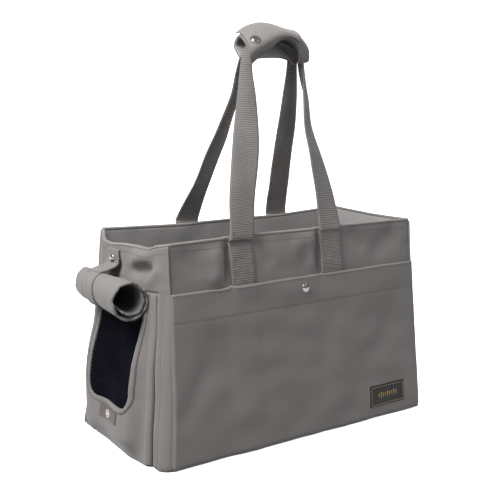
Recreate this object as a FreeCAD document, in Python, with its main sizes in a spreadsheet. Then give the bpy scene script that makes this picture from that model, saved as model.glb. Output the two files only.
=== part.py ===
import FreeCAD, Part
import math
import os
import Sketcher

# Soft pet carrier tote. Units are millimetres, +Z is up, +X is to the bag's right as one faces the
# pocket side, and the pocket side faces -Y. The origin is the centre of the base's underside.

doc = FreeCAD.newDocument("PetCarrierBag")
sheet = doc.addObject("Spreadsheet::Sheet", "Size")

DRIVING_SIZES = [
    ("body_length", 438, "length of the body between its end seams"),
    ("base_depth", 222, "depth of the body at the base"),
    ("mouth_depth", 160, "depth of the body at the rim"),
    ("body_height", 285, "height of the rim above the ground"),
    ("end_bulge", 12, "how far each end leans out at the base"),
    ("seam_height", 226, "height of the collar seam on both ends"),
    ("wall", 3, "thickness of the padded canvas walls"),
    ("lining_wall", 1, "thickness of the lining"),
    ("gap", 0.35, "clearance between neighbouring sewn pieces"),
    ("base_wall", 3, "thickness of the base panel"),
    ("board_wall", 3, "thickness of the stiffening board"),
    ("mat_wall", 16, "thickness of the comfort mat"),
    ("webbing_width", 38, "width of the handle webbing"),
    ("webbing_wall", 2, "thickness of the handle webbing"),
    ("front_left_strap", -92, "where the front handle's left leg is sewn"),
    ("front_right_strap", 64, "where the front handle's right leg is sewn"),
    ("rear_left_strap", -71, "where the rear handle's left leg is sewn"),
    ("rear_right_strap", 96, "where the rear handle's right leg is sewn"),
    ("pocket_height", 224, "height of the pocket's mouth"),
    ("pocket_room", 6, "depth of the empty front pocket"),
    ("pocket_wall", 2, "thickness of the pocket's cloth"),
    ("snap_radius", 6.2, "radius of a snap's cap"),
    ("snap_rise", 2.4, "height of a snap's cap"),
    ("zip_top_offset", 66, "half distance between the two zips at the collar seam"),
    ("zip_base_offset", 85, "half distance between the two zips at the base"),
    ("zip_tape_width", 9, "width of each zip tape"),
    ("window_shift", 5, "how far the windows stand off the middle of their ends"),
    ("window_half_width", 50, "half width of a mesh window"),
    ("window_bottom", 68, "lower edge of a mesh window"),
    ("window_top", 206, "upper edge of a mesh window"),
    ("window_radius", 18, "corner radius of a mesh window"),
    ("welt_width", 7, "width of the welt around a window"),
    ("welt_rise", 2, "height of the welt around a window"),
    ("mesh_wall", 1.2, "thickness of the window mesh"),
    ("roll_near_radius", 27, "radius of the rolled cover's front end"),
    ("roll_far_radius", 21.5, "radius of the rolled cover's rear end"),
    ("roll_wall", 9, "thickness of the rolled layers"),
    ("roll_near_end", -52, "place of the rolled cover's front end"),
    ("roll_length", 118, "length of the rolled cover"),
    ("roll_height", 215, "height of the rolled cover's middle"),
    ("roll_stand_off", 4, "room between the body and the rolled cover"),
    ("wrap_room", 1, "room between the roll and its wrap strap"),
    ("wrap_wall", 1.6, "thickness of the wrap strap"),
    ("cover_wall", 1.6, "thickness of the hanging cover"),
    ("cover_margin", 8, "how far the hanging cover reaches past its window's welt"),
    ("cover_hem", 22, "how far the hanging cover reaches below its window"),
    ("tab_width", 25, "width of the cover's holding tab"),
    ("tab_top", 266, "height of the tab's sewn edge"),
    ("tab_length", 24, "length of the tab below its sewn edge"),
    ("tab_place", 30, "where the tab is sewn along the end"),
    ("tab_wall", 2, "thickness of the holding tab"),
    ("tab_snap_height", 7, "height of the tab's snap above the tab's free end"),
    ("tab_snap_radius", 5.5, "radius of the tab's snap cap"),
    ("handle_reach", 272, "length of a handle from the rim to its top edge"),
    ("handle_lean", 16.6, "angle by which each handle leans to the middle"),
    ("handle_foot", 3.5, "clearance between a handle and its sewn tail"),
    ("handle_inset", 14, "how far the folded webbing lies inside each end of the grip"),
    ("fold_half_width", 11, "half width of the webbing where it is folded into the grip"),
    ("fold_drop", 34, "how far below its top edge the webbing is fully folded"),
    ("fold_slant", 4, "how much lower the folded webbing's inner edge starts"),
    ("fold_corner", 4, "how far the top corners of the webbing are cut back"),
    ("run_width", 24, "width of the webbing's run through the grip"),
    ("strap_margin", 4, "length left unsewn at each end of a strap's tail"),
    ("grip_left", -50, "left end of the grip wrap"),
    ("grip_right", 78, "right end of the grip wrap"),
    ("grip_bottom", 514, "lowest height of the grip wrap"),
    ("grip_top", 566, "highest height of the grip wrap"),
    ("grip_depth", 40, "depth of the grip wrap"),
    ("grip_wall", 4, "thickness of the grip wrap"),
    ("grip_opening", 36, "length of each open end of the grip's underside"),
    ("flap_drop", 7, "how far the flap's underside lies below the grip's top"),
    ("grip_snap_place", 22, "distance of the grip's snap from the grip's left end"),
    ("grip_snap_radius", 6, "radius of the grip's snap cap"),
    ("grip_snap_rise", 2.2, "height of the grip's snap cap"),
    ("socket_radius", 4, "radius of the grip snap's socket"),
    ("socket_rise", 2, "height of the grip snap's socket"),
    ("stud_radius", 4.5, "radius of a snap's plain half"),
    ("stud_rise", 1.6, "height of a snap's plain half"),
    ("pocket_snap_place", 2, "distance of the pocket's snap from the middle"),
    ("pocket_snap_drop", 15, "distance of the pocket's snap below the pocket's mouth"),
    ("mouth_snap_place", 62, "distance of each mouth snap from the middle of the end"),
    ("mouth_snap_drop", 12, "distance of the mouth snaps below the rim"),
    ("label_left", 122, "left edge of the woven label"),
    ("label_right", 194, "right edge of the woven label"),
    ("label_foot", 14, "lower edge of the woven label, up the wall"),
    ("label_top", 46, "upper edge of the woven label, up the wall"),
    ("label_wall", 0.8, "thickness of the woven label"),
    ("tag_front", -27, "front edge of the end tag, from the window's middle"),
    ("tag_rear", 23, "rear edge of the end tag, from the window's middle"),
    ("tag_foot", 40, "lower edge of the end tag, up the door"),
    ("tag_top", 57, "upper edge of the end tag, up the door"),
    ("tag_wall", 1.2, "thickness of the end tag"),
    ("emblem_place", -2, "place of the ring on the tag, from the window's middle"),
    ("emblem_height", 48.5, "height of the ring's middle, up the door"),
    ("emblem_outer", 5.5, "outer radius of the ring"),
    ("emblem_inner", 3.8, "inner radius of the ring"),
    ("emblem_rise", 0.6, "height of the ring"),
    ("tape_wall", 1.2, "thickness of a zip tape"),
    ("tape_gap", 0.4, "distance of a zip tape's edge from the zip's line"),
    ("door_gap", 1, "distance of the cloth on either side from a zip's line"),
    ("door_edge", 1.5, "clearance above and below the door"),
    ("slider_wall", 3, "thickness of a zip's slider"),
    ("slider_near", 2, "distance of a slider's inner edge from its zip"),
    ("slider_far", 8, "distance of a slider's outer edge from its zip"),
    ("slider_top", 7, "distance of a slider's top below the collar seam"),
    ("slider_foot", 16, "distance of a slider's foot below the collar seam"),
    ("pull_foot", 38, "distance of a pull's foot below the collar seam"),
    ("pull_inset", 1, "how much narrower a pull is than its slider, on each side"),
    ("pull_wall", 1.2, "thickness of a pull"),
    ("lining_edge", 3, "how far the lining stops short of the rim and the corners"),
    ("base_play", 6, "free room between the walls and the board's ends"),
    ("side_play", 2, "free room between the lining and the board's sides"),
    ("mat_play", 1, "how much shorter the mat is than the board at each edge"),
    ("mesh_seam", 2.5, "how far the mesh reaches past the window's edge"),
    ("welt_gap", 0.5, "distance of the welt's inner edge from the window's edge"),
    ("binding_height", 2.4, "height of the rim's binding"),
]

for row, (alias, size, note) in enumerate(DRIVING_SIZES, 1):
    sheet.set(f"A{row}", alias)
    sheet.set(f"B{row}", str(size))
    sheet.set(f"C{row}", note)
    sheet.setAlias(f"B{row}", alias)
doc.recompute()


def number(expression):
    """The present value of an expression in the sheet's aliases."""
    result = sheet.evalExpression(expression)
    return float(getattr(result, "Value", result))


# ---- the frames that the sewn panels lie in ------------------------------------------------------

WALL_LEAN = "atan((Size.base_depth - Size.mouth_depth) / 2 / Size.body_height)"
END_LEAN = "atan(Size.end_bulge / Size.seam_height)"
LIFT = "(Size.base_wall + Size.gap)"
OPEN_LENGTH = "(Size.body_length / 2 + Size.end_bulge)"

# plane, outward sign of the sketch normal, base point, lean axis and lean angle
FRAMES = {
    "front": ("XZ_Plane", 1, ("0", "-Size.base_depth / 2", LIFT), (-1, 0, 0), WALL_LEAN),
    "rear": ("XZ_Plane", -1, ("0", "Size.base_depth / 2", LIFT), (1, 0, 0), WALL_LEAN),
    "left": ("YZ_Plane", -1, (f"-{OPEN_LENGTH}", "0", LIFT), (0, 1, 0), END_LEAN),
    "right": ("YZ_Plane", 1, (OPEN_LENGTH, "0", LIFT), (0, -1, 0), END_LEAN),
    "left_collar": ("YZ_Plane", -1, ("-Size.body_length / 2", "0", "0"), None, None),
    "right_collar": ("YZ_Plane", 1, ("Size.body_length / 2", "0", "0"), None, None),
    "ground": ("XY_Plane", 1, ("0", "0", "0"), None, None),
    "front_handle": ("XZ_Plane", 1, ("0", "-Size.mouth_depth / 2 - Size.gap", "Size.body_height"),
                     (-1, 0, 0), "Size.handle_lean"),
    "rear_handle": ("XZ_Plane", -1, ("0", "Size.mouth_depth / 2 + Size.gap", "Size.body_height"),
                    (1, 0, 0), "Size.handle_lean"),
}


def half_depth(height):
    """Half the clear depth between the front and rear panels at a height."""
    slope = "(Size.base_depth - Size.mouth_depth) / 2 / Size.body_height"
    return f"(Size.base_depth / 2 - ({height}) * {slope} - Size.wall / cos({WALL_LEAN}) - Size.gap)"


def zip_offset(height):
    """Distance of a zip from the middle of the end at a height."""
    drop = "(Size.zip_base_offset - Size.zip_top_offset) / Size.seam_height"
    return f"(Size.zip_base_offset - ({height}) * {drop})"


def place_in_frame(thing, frame):
    """Puts an object in a panel's frame, bound to the sheet."""
    _, _, base, axis, angle = FRAMES[frame]
    if axis:
        turn = FreeCAD.Rotation(FreeCAD.Vector(*axis), number(angle))
        thing.Placement = FreeCAD.Placement(FreeCAD.Vector(*map(number, base)), turn)
        thing.setExpression("Placement.Rotation.Angle", angle)
    for letter, text in zip("xyz", base):
        thing.setExpression(f"Placement.Base.{letter}", text)


def origin_plane(body, role):
    for feature in body.Origin.OriginFeatures:
        if feature.Role == role:
            return feature
    raise ValueError(role)


def pin_point(sketch, line, texts):
    """Fixes a line's start point to two expressions."""
    for kind, axis_line, text in zip(("DistanceX", "DistanceY"), (-2, -1), texts):
        if abs(number(text)) < 1e-9:
            sketch.addConstraint(Sketcher.Constraint("PointOnObject", line, 1, axis_line))
            continue
        made = sketch.addConstraint(Sketcher.Constraint(kind, -1, 1, line, 1, number(text)))
        sketch.setExpression(f"Constraints[{made}]", text)


def draw_polygon(sketch, corners):
    points = [FreeCAD.Vector(number(across), number(along), 0) for across, along in corners]
    first = sketch.GeometryCount
    count = len(points)
    for i in range(count):
        sketch.addGeometry(Part.LineSegment(points[i], points[(i + 1) % count]), False)
    for i in range(count):
        joint = Sketcher.Constraint("Coincident", first + i, 2, first + (i + 1) % count, 1)
        sketch.addConstraint(joint)
    for i, corner in enumerate(corners):
        pin_point(sketch, first + i, corner)


def draw_rounded_window(sketch, left, bottom, right, top, radius):
    """A rounded rectangle, anticlockwise from its lower edge."""
    low_x, low_y, high_x, high_y, r = map(number, (left, bottom, right, top, radius))
    first = sketch.GeometryCount
    corners = [(high_x - r, low_y + r, -90), (high_x - r, high_y - r, 0),
               (low_x + r, high_y - r, 90), (low_x + r, low_y + r, 180)]
    ends = [((low_x + r, low_y), (high_x - r, low_y)), ((high_x, low_y + r), (high_x, high_y - r)),
            ((high_x - r, high_y), (low_x + r, high_y)), ((low_x, high_y - r), (low_x, low_y + r))]
    for (start, end), (centre_x, centre_y, turn) in zip(ends, corners):
        sketch.addGeometry(Part.LineSegment(FreeCAD.Vector(*start, 0), FreeCAD.Vector(*end, 0)), False)
        circle = Part.Circle(FreeCAD.Vector(centre_x, centre_y, 0), FreeCAD.Vector(0, 0, 1), r)
        arc = Part.ArcOfCircle(circle, math.radians(turn), math.radians(turn + 90))
        sketch.addGeometry(arc, False)
    for i in range(4):
        line = first + 2 * i
        arc = line + 1
        following = first + (2 * i + 2) % 8
        sketch.addConstraint(Sketcher.Constraint("Tangent", line, 2, arc, 1))
        sketch.addConstraint(Sketcher.Constraint("Tangent", arc, 2, following, 1))
        direction = "Vertical" if i % 2 else "Horizontal"
        sketch.addConstraint(Sketcher.Constraint(direction, line))
        if i:
            sketch.addConstraint(Sketcher.Constraint("Equal", first + 1, arc))
    bound = [("DistanceY", 0, bottom), ("DistanceX", 2, right), ("DistanceY", 4, top), ("DistanceX", 6, left)]
    for kind, line, text in bound:
        made = sketch.addConstraint(Sketcher.Constraint(kind, -1, 1, first + line, 1, number(text)))
        sketch.setExpression(f"Constraints[{made}]", text)
    made = sketch.addConstraint(Sketcher.Constraint("Radius", first + 1, r))
    sketch.setExpression(f"Constraints[{made}]", radius)


PARTS = {}


def pad(body, label, frame, stand_off, thickness, draw):
    """Pads a sketch outward from a plane that stands off a panel's reference face."""
    plane, outward, _, _, _ = FRAMES[frame]
    sketch = body.newObject("Sketcher::SketchObject", f"{label}_outline")
    sketch.AttachmentSupport = [(origin_plane(body, plane), "")]
    sketch.MapMode = "FlatFace"
    sketch.setExpression("AttachmentOffset.Base.z", f"{outward} * ({stand_off})")
    draw(sketch)
    feature = body.newObject("PartDesign::Pad", f"{label}_pad")
    feature.Profile = sketch
    feature.setExpression("Length", thickness)
    feature.Reversed = outward < 0
    return feature


def panel(label, frame, stand_off, thickness, draw):
    """One flat sewn piece as a body of its own."""
    body = doc.addObject("PartDesign::Body", label)
    body.Label = label
    pad(body, label, frame, stand_off, thickness, draw)
    place_in_frame(body, frame)
    PARTS[label] = body
    return body


def polygon(*corners):
    return lambda sketch: draw_polygon(sketch, corners)


def rectangle(left, bottom, right, top):
    return polygon((left, bottom), (right, bottom), (right, top), (left, top))


def window_outline(grow, heights_lift="0"):
    """The window's rounded outline, grown by an allowance."""
    return (f"Size.window_shift - Size.window_half_width - ({grow})",
            f"Size.window_bottom - ({grow}) - {heights_lift}",
            f"Size.window_shift + Size.window_half_width + ({grow})",
            f"Size.window_top + ({grow}) - {heights_lift}",
            f"Size.window_radius + ({grow})")


def with_window(outline, grow="0"):
    """An outline with the window cut out of it."""
    def draw(sketch):
        outline(sketch)
        draw_rounded_window(sketch, *window_outline(grow, LIFT))
    return draw


# ---- base, board and mat -------------------------------------------------------------------------

def make_base():
    corner = "Size.base_depth / 2 - Size.gap"
    panel("base_panel", "ground", "0", "Size.base_wall",
          rectangle(f"-{OPEN_LENGTH}", f"-({corner})", OPEN_LENGTH, corner))
    inset_x = f"{OPEN_LENGTH} - Size.wall - Size.base_play"
    inset_y = half_depth("Size.base_wall + Size.board_wall + Size.mat_wall") 
    inset_y += " - Size.lining_wall - Size.side_play"
    panel("base_board", "ground", LIFT, "Size.board_wall",
          rectangle(f"-({inset_x})", f"-({inset_y})", inset_x, inset_y))
    mat_x = f"{inset_x} - Size.mat_play"
    mat_y = f"{inset_y} - Size.mat_play"
    panel("comfort_mat", "ground", f"{LIFT} + Size.board_wall + Size.gap", "Size.mat_wall",
          rectangle(f"-({mat_x})", f"-({mat_y})", mat_x, mat_y))


# ---- front and rear walls ------------------------------------------------------------------------

SLOPE_TOP = f"(Size.body_height - {LIFT}) / cos({WALL_LEAN})"
SLOPE_SEAM = f"(Size.seam_height - {LIFT}) / cos({WALL_LEAN})"


def wall_outline(edge):
    """Half-length outline of a front or rear wall, drawn in by an edge allowance."""
    return polygon((f"-({OPEN_LENGTH} - {edge})", "0"), (f"{OPEN_LENGTH} - {edge}", "0"),
                   (f"Size.body_length / 2 - {edge}", SLOPE_SEAM),
                   (f"Size.body_length / 2 - {edge}", SLOPE_TOP),
                   (f"-(Size.body_length / 2 - {edge})", SLOPE_TOP),
                   (f"-(Size.body_length / 2 - {edge})", SLOPE_SEAM))


def make_walls():
    for side in ("front", "rear"):
        panel(f"{side}_panel", side, "-Size.wall", "Size.wall", wall_outline("0"))
        edge = "(Size.wall + Size.gap + Size.end_bulge)"
        lining_foot = "Size.board_wall + Size.mat_wall + 2"
        panel(f"{side}_lining", side, "-Size.wall - Size.gap - Size.lining_wall", "Size.lining_wall",
              rectangle(f"-({OPEN_LENGTH} - {edge})", lining_foot, f"{OPEN_LENGTH} - {edge}",
                        f"{SLOPE_TOP} - Size.lining_edge"))


# ---- ends ----------------------------------------------------------------------------------------

SEAM = f"(Size.seam_height - {LIFT}) / cos({END_LEAN})"


def collar(side):
    foot = half_depth("Size.seam_height + Size.gap")
    rim = half_depth("Size.body_height")
    panel(f"{side}_collar", f"{side}_collar", "-Size.wall", "Size.wall",
          polygon((f"-{foot}", "Size.seam_height + Size.gap"), (foot, "Size.seam_height + Size.gap"),
                  (rim, "Size.body_height"), (f"-{rim}", "Size.body_height")))
    panel(f"{side}_collar_lining", f"{side}_collar", "-Size.wall - Size.gap - Size.lining_wall",
          "Size.lining_wall",
          polygon((f"-({foot} - Size.lining_edge)", "Size.seam_height + 2"),
                  (f"{foot} - Size.lining_edge", "Size.seam_height + 2"),
                  (f"{rim} - Size.lining_edge", "Size.body_height - Size.lining_edge"),
                  (f"-({rim} - Size.lining_edge)", "Size.body_height - Size.lining_edge")))


def gusset(label, sign):
    """The strip of the left end between a zip and the front or rear wall."""
    base_wall = half_depth(LIFT)
    seam_wall = half_depth("Size.seam_height")
    panel(label, "left", "-Size.wall", "Size.wall",
          polygon((f"{sign} * {base_wall}", "0"), (f"{sign} * {seam_wall}", SEAM),
                  (f"{sign} * ({zip_offset('Size.seam_height')} + Size.door_gap)", SEAM),
                  (f"{sign} * ({zip_offset('0')} + Size.door_gap)", "0")))


def zip_tape(label, sign, side):
    """A zip tape behind the cloth: side +1 is sewn to the gusset, -1 to the door."""
    near = f"{side} * Size.tape_gap"
    far = f"{side} * (Size.tape_gap + Size.zip_tape_width)"
    top = f"{SEAM} - 4"
    panel(label, "left", "-Size.wall - Size.gap - Size.tape_wall", "Size.tape_wall",
          polygon((f"{sign} * ({zip_offset('0')} + {near})", "3"),
                  (f"{sign} * ({zip_offset('0')} + {far})", "3"),
                  (f"{sign} * ({zip_offset('Size.seam_height')} + {far})", top),
                  (f"{sign} * ({zip_offset('Size.seam_height')} + {near})", top)))


def door_outline():
    low = "Size.door_edge"
    high = f"{SEAM} - Size.door_edge"
    half_foot = f"{zip_offset('0')} - Size.door_gap"
    half_top = f"{zip_offset('Size.seam_height')} - Size.door_gap"
    return polygon((f"-({half_foot})", low), (half_foot, low), (half_top, high), (f"-({half_top})", high))


def window_fittings(side):
    """The welt around a window and the mesh that is sewn in behind it."""
    panel(f"{side}_window_mesh", side, "-Size.wall - Size.gap - Size.mesh_wall", "Size.mesh_wall",
          lambda sketch: draw_rounded_window(sketch, *window_outline("Size.mesh_seam", LIFT)))

    def ring(sketch):
        draw_rounded_window(sketch, *window_outline("Size.welt_width", LIFT))
        draw_rounded_window(sketch, *window_outline("Size.welt_gap", LIFT))
    panel(f"{side}_window_welt", side, "Size.gap", "Size.welt_rise", ring)


def make_ends():
    for side in ("left", "right"):
        collar(side)
        window_fittings(side)
    gusset("left_front_gusset", "-1")
    gusset("left_rear_gusset", "1")
    panel("left_door_panel", "left", "-Size.wall", "Size.wall", with_window(door_outline()))
    base_wall = half_depth(LIFT)
    seam_wall = half_depth("Size.seam_height")
    panel("right_end_panel", "right", "-Size.wall", "Size.wall",
          with_window(polygon((f"-{base_wall}", "0"), (base_wall, "0"), (seam_wall, SEAM),
                              (f"-{seam_wall}", SEAM))))
    for name, sign in (("front", "-1"), ("rear", "1")):
        zip_tape(f"{name}_zip_fixed_tape", sign, 1)
        zip_tape(f"{name}_zip_door_tape", sign, -1)


# ---- straps, handles and grip --------------------------------------------------------------------

def strap_tail(label, side, centre):
    """The stretch of webbing that is sewn flat to a wall, from the base seam to the rim."""
    half = "Size.webbing_width / 2"
    panel(label, side, "Size.gap", "Size.webbing_wall",
          rectangle(f"Size.{centre} - {half}", "Size.strap_margin", f"Size.{centre} + {half}",
                    f"{SLOPE_TOP} - Size.strap_margin"))


def make_strap_tails():
    for side in ("front", "rear"):
        for hand in ("left", "right"):
            strap_tail(f"{side}_{hand}_strap_tail", side, f"{side}_{hand}_strap")


def handle(side):
    """A loop of webbing: two legs that narrow as they fold into the grip, and the run through it."""
    half = "Size.webbing_width / 2"
    left = f"Size.{side}_left_strap"
    right = f"Size.{side}_right_strap"
    top_left = "(Size.grip_left + Size.handle_inset)"
    top_right = "(Size.grip_right - Size.handle_inset)"
    foot = "Size.handle_foot"
    top = "Size.handle_reach"
    outer_shoulder = f"{top} - Size.fold_drop"
    inner_shoulder = f"{outer_shoulder} - Size.fold_slant"
    run_low = f"{top} - Size.run_width"
    neck = "Size.fold_half_width"
    panel(f"{side}_handle_webbing", f"{side}_handle", "0", "Size.webbing_wall",
          polygon((f"{left} - {half}", foot), (f"{left} + {half}", foot),
                  (f"{top_left} + {neck}", inner_shoulder), (f"{top_left} + 2 * {neck}", run_low),
                  (f"{top_right} - 2 * {neck}", run_low), (f"{top_right} - {neck}", inner_shoulder),
                  (f"{right} - {half}", foot), (f"{right} + {half}", foot),
                  (f"{top_right} + {neck}", outer_shoulder), (f"{top_right} - Size.fold_corner", top),
                  (f"{top_left} + Size.fold_corner", top), (f"{top_left} - {neck}", outer_shoulder)))


def block(label, corner, sizes):
    """A box bound to the sheet by its low corner and its three sizes."""
    box = doc.addObject("Part::Box", label)
    box.Label = label
    for letter, text in zip("xyz", corner):
        box.setExpression(f"Placement.Base.{letter}", text)
    for edge, text in zip(("Length", "Width", "Height"), sizes):
        box.setExpression(edge, text)
    return box


def make_grip():
    """A trough of padded canvas under the two handle runs, closed by a flap that snaps on top."""
    length = "Size.grip_right - Size.grip_left"
    side_height = "Size.grip_top - Size.grip_bottom - 2 * Size.grip_wall"
    low = "Size.grip_bottom"
    front = block("grip_front_side", ("Size.grip_left", "-Size.grip_depth / 2", low),
                  (length, "Size.grip_wall", side_height))
    rear = block("grip_rear_side", ("Size.grip_left", "Size.grip_depth / 2 - Size.grip_wall", low),
                 (length, "Size.grip_wall", side_height))
    floor = block("grip_floor", ("Size.grip_left + Size.grip_opening", "-Size.grip_depth / 2", low),
                  (f"{length} - 2 * Size.grip_opening", "Size.grip_depth", "Size.grip_wall"))
    wrap = doc.addObject("Part::MultiFuse", "grip_pad")
    wrap.Label = "grip_pad"
    wrap.Shapes = [front, rear, floor]
    PARTS["grip_pad"] = wrap
    flap = block("grip_flap", ("Size.grip_left", "-Size.grip_depth / 2", "Size.grip_top - Size.flap_drop"),
                 (length, "Size.grip_depth", "Size.grip_wall"))
    PARTS["grip_flap"] = flap


# ---- pocket and label ----------------------------------------------------------------------------

POCKET_FACE = "(Size.webbing_wall + Size.gap + Size.pocket_room - 2)"
POCKET_TOP = f"((Size.pocket_height - {LIFT}) / cos({WALL_LEAN}))"


def make_pocket():
    """A cloth face that stands off the front wall, with narrow sides and a foot sewn to the wall."""
    edge = f"{OPEN_LENGTH} - Size.pocket_height * Size.end_bulge / Size.seam_height"
    foot = f"({OPEN_LENGTH} - 1.5)"
    body = panel("front_pocket", "front", POCKET_FACE, "Size.pocket_wall",
                 polygon((f"-{foot}", "1"), (foot, "1"), (edge, POCKET_TOP), (f"-({edge})", POCKET_TOP)))
    pad(body, "pocket_sides", "front", "Size.gap", f"{POCKET_FACE} - Size.gap + 1",
        polygon((f"-{foot}", "1"), (foot, "1"), (edge, POCKET_TOP), (f"{edge} - 2", POCKET_TOP),
                (f"{foot} - 2", "3"), (f"-({foot} - 2)", "3"), (f"-({edge} - 2)", POCKET_TOP),
                (f"-({edge})", POCKET_TOP)))
    panel("woven_label", "front", f"{POCKET_FACE} + Size.pocket_wall + Size.gap",
          "Size.label_wall",
          rectangle("Size.label_left", "Size.label_foot", "Size.label_right", "Size.label_top"))


# ---- snaps ---------------------------------------------------------------------------------------

def snap(label, frame, stand_off, across, along, rise="Size.snap_rise", radius="Size.snap_radius"):
    """A domed metal cap: a disc whose outer rim is rounded over."""
    plane, outward, _, _, _ = FRAMES[frame]
    body = doc.addObject("PartDesign::Body", label)
    body.Label = label
    sketch = body.newObject("Sketcher::SketchObject", f"{label}_disc")
    sketch.AttachmentSupport = [(origin_plane(body, plane), "")]
    sketch.MapMode = "FlatFace"
    sketch.setExpression("AttachmentOffset.Base.z", f"{outward} * ({stand_off})")
    centre = FreeCAD.Vector(number(across), number(along), 0)
    sketch.addGeometry(Part.Circle(centre, FreeCAD.Vector(0, 0, 1), number(radius)), False)
    for kind, text in (("DistanceX", across), ("DistanceY", along)):
        made = sketch.addConstraint(Sketcher.Constraint(kind, -1, 1, 0, 3, number(text)))
        sketch.setExpression(f"Constraints[{made}]", text)
    made = sketch.addConstraint(Sketcher.Constraint("Radius", 0, number(radius)))
    sketch.setExpression(f"Constraints[{made}]", radius)
    feature = body.newObject("PartDesign::Pad", f"{label}_pad")
    feature.Profile = sketch
    feature.setExpression("Length", rise)
    feature.Reversed = outward < 0
    doc.recompute()
    rim = [f"Edge{i + 1}" for i, edge in enumerate(feature.Shape.Edges)
           if isinstance(edge.Curve, Part.Circle) and on_outer_face(edge, frame, stand_off, rise)]
    dome = body.newObject("PartDesign::Fillet", f"{label}_dome")
    dome.Base = (feature, rim)
    dome.setExpression("Radius", f"({rise}) * 0.8")
    body.Tip = dome
    place_in_frame(body, frame)
    PARTS[label] = body


def on_outer_face(edge, frame, stand_off, rise):
    """True for the cap's outer rim, measured along the outward normal in the body's own frame."""
    plane, outward, _, _, _ = FRAMES[frame]
    reach = number(stand_off) + number(rise)
    centre = edge.Curve.Center
    along = {"XZ_Plane": -centre.y, "YZ_Plane": centre.x, "XY_Plane": centre.z}[plane]
    return abs(along * outward - reach) < 0.01


def make_snaps():
    middle = f"{POCKET_TOP} - Size.pocket_snap_drop"
    plain = {"rise": "Size.stud_rise", "radius": "Size.stud_radius"}
    snap("pocket_snap_cap", "front", f"{POCKET_FACE} + Size.pocket_wall + Size.gap",
         "Size.pocket_snap_place", middle)
    snap("pocket_snap_stud", "front", "Size.gap", "Size.pocket_snap_place", middle, **plain)
    for side in ("left", "right"):
        snap(f"{side}_tab_snap_cap", f"{side}_collar", "2 * Size.gap + Size.tab_wall", "Size.tab_place",
             "Size.tab_top - Size.tab_length + Size.tab_snap_height", radius="Size.tab_snap_radius")
    inner_face = "-Size.wall - Size.lining_wall - 2 * Size.gap - Size.stud_rise - 0.2"
    for corner, across in (("front", "-Size.mouth_snap_place"), ("rear", "Size.mouth_snap_place")):
        snap(f"{corner}_mouth_snap", "left_collar", inner_face, across,
             "Size.body_height - Size.mouth_snap_drop", **plain)


# ---- the left door's trim, the rolled cover, tabs and covers --------------------------------------

def make_roll():
    """The rolled cover: a hollow tapered tube of cloth along the door's top edge."""
    outer = doc.addObject("Part::Cone", "roll_outer")
    outer.setExpression("Radius1", "Size.roll_far_radius")
    outer.setExpression("Radius2", "Size.roll_near_radius")
    outer.setExpression("Height", "Size.roll_length")
    inner = doc.addObject("Part::Cone", "roll_hollow")
    inner.setExpression("Radius1", "Size.roll_far_radius - Size.roll_wall")
    inner.setExpression("Radius2", "Size.roll_near_radius - Size.roll_wall")
    inner.setExpression("Height", "Size.roll_length")
    roll = doc.addObject("Part::Cut", "left_window_cover")
    roll.Label = "left_window_cover"
    roll.Base = outer
    roll.Tool = inner
    lie_along_y = FreeCAD.Rotation(FreeCAD.Vector(1, 0, 0), 90)
    roll.Placement = FreeCAD.Placement(FreeCAD.Vector(), lie_along_y)
    centre = ("-(Size.body_length / 2 + Size.roll_stand_off + Size.roll_near_radius)",
              "Size.roll_near_end + Size.roll_length", "Size.roll_height")
    for letter, text in zip("xyz", centre):
        roll.setExpression(f"Placement.Base.{letter}", text)
    PARTS["left_window_cover"] = roll


def make_wrap_strap():
    """The strap that goes round the roll and keeps it rolled."""
    radius = ("(Size.roll_near_radius - (Size.tab_place - Size.roll_near_end) / Size.roll_length"
              " * (Size.roll_near_radius - Size.roll_far_radius))")
    band = doc.addObject("Part::Cylinder", "band_outer")
    band.setExpression("Radius", f"{radius} + Size.wrap_room + Size.wrap_wall")
    band.setExpression("Height", "Size.tab_width")
    hole = doc.addObject("Part::Cylinder", "band_hole")
    hole.setExpression("Radius", f"{radius} + Size.wrap_room")
    hole.setExpression("Height", "Size.tab_width")
    strap = doc.addObject("Part::Cut", "left_cover_wrap_strap")
    strap.Label = "left_cover_wrap_strap"
    strap.Base = band
    strap.Tool = hole
    lie_along_y = FreeCAD.Rotation(FreeCAD.Vector(1, 0, 0), 90)
    strap.Placement = FreeCAD.Placement(FreeCAD.Vector(), lie_along_y)
    centre = ("-(Size.body_length / 2 + Size.roll_stand_off + Size.roll_near_radius)",
              "Size.tab_place + Size.tab_width / 2", "Size.roll_height")
    for letter, text in zip("xyz", centre):
        strap.setExpression(f"Placement.Base.{letter}", text)
    PARTS["left_cover_wrap_strap"] = strap


def make_covers_and_tabs():
    make_roll()
    make_wrap_strap()
    for side in ("left", "right"):
        half = "Size.tab_width / 2"
        panel(f"{side}_cover_tab", f"{side}_collar", "Size.gap", "Size.tab_wall",
              rectangle(f"Size.tab_place - {half}", "Size.tab_top - Size.tab_length",
                        f"Size.tab_place + {half}", "Size.tab_top"))
    side_edge = "(Size.window_half_width + Size.welt_width + Size.cover_margin)"
    panel("right_window_cover", "right", "Size.welt_rise + 3 * Size.gap", "Size.cover_wall",
          rectangle(f"Size.window_shift - {side_edge}", "Size.window_bottom - Size.cover_hem",
                    f"Size.window_shift + {side_edge}", f"{SEAM} - 3"))


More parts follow.
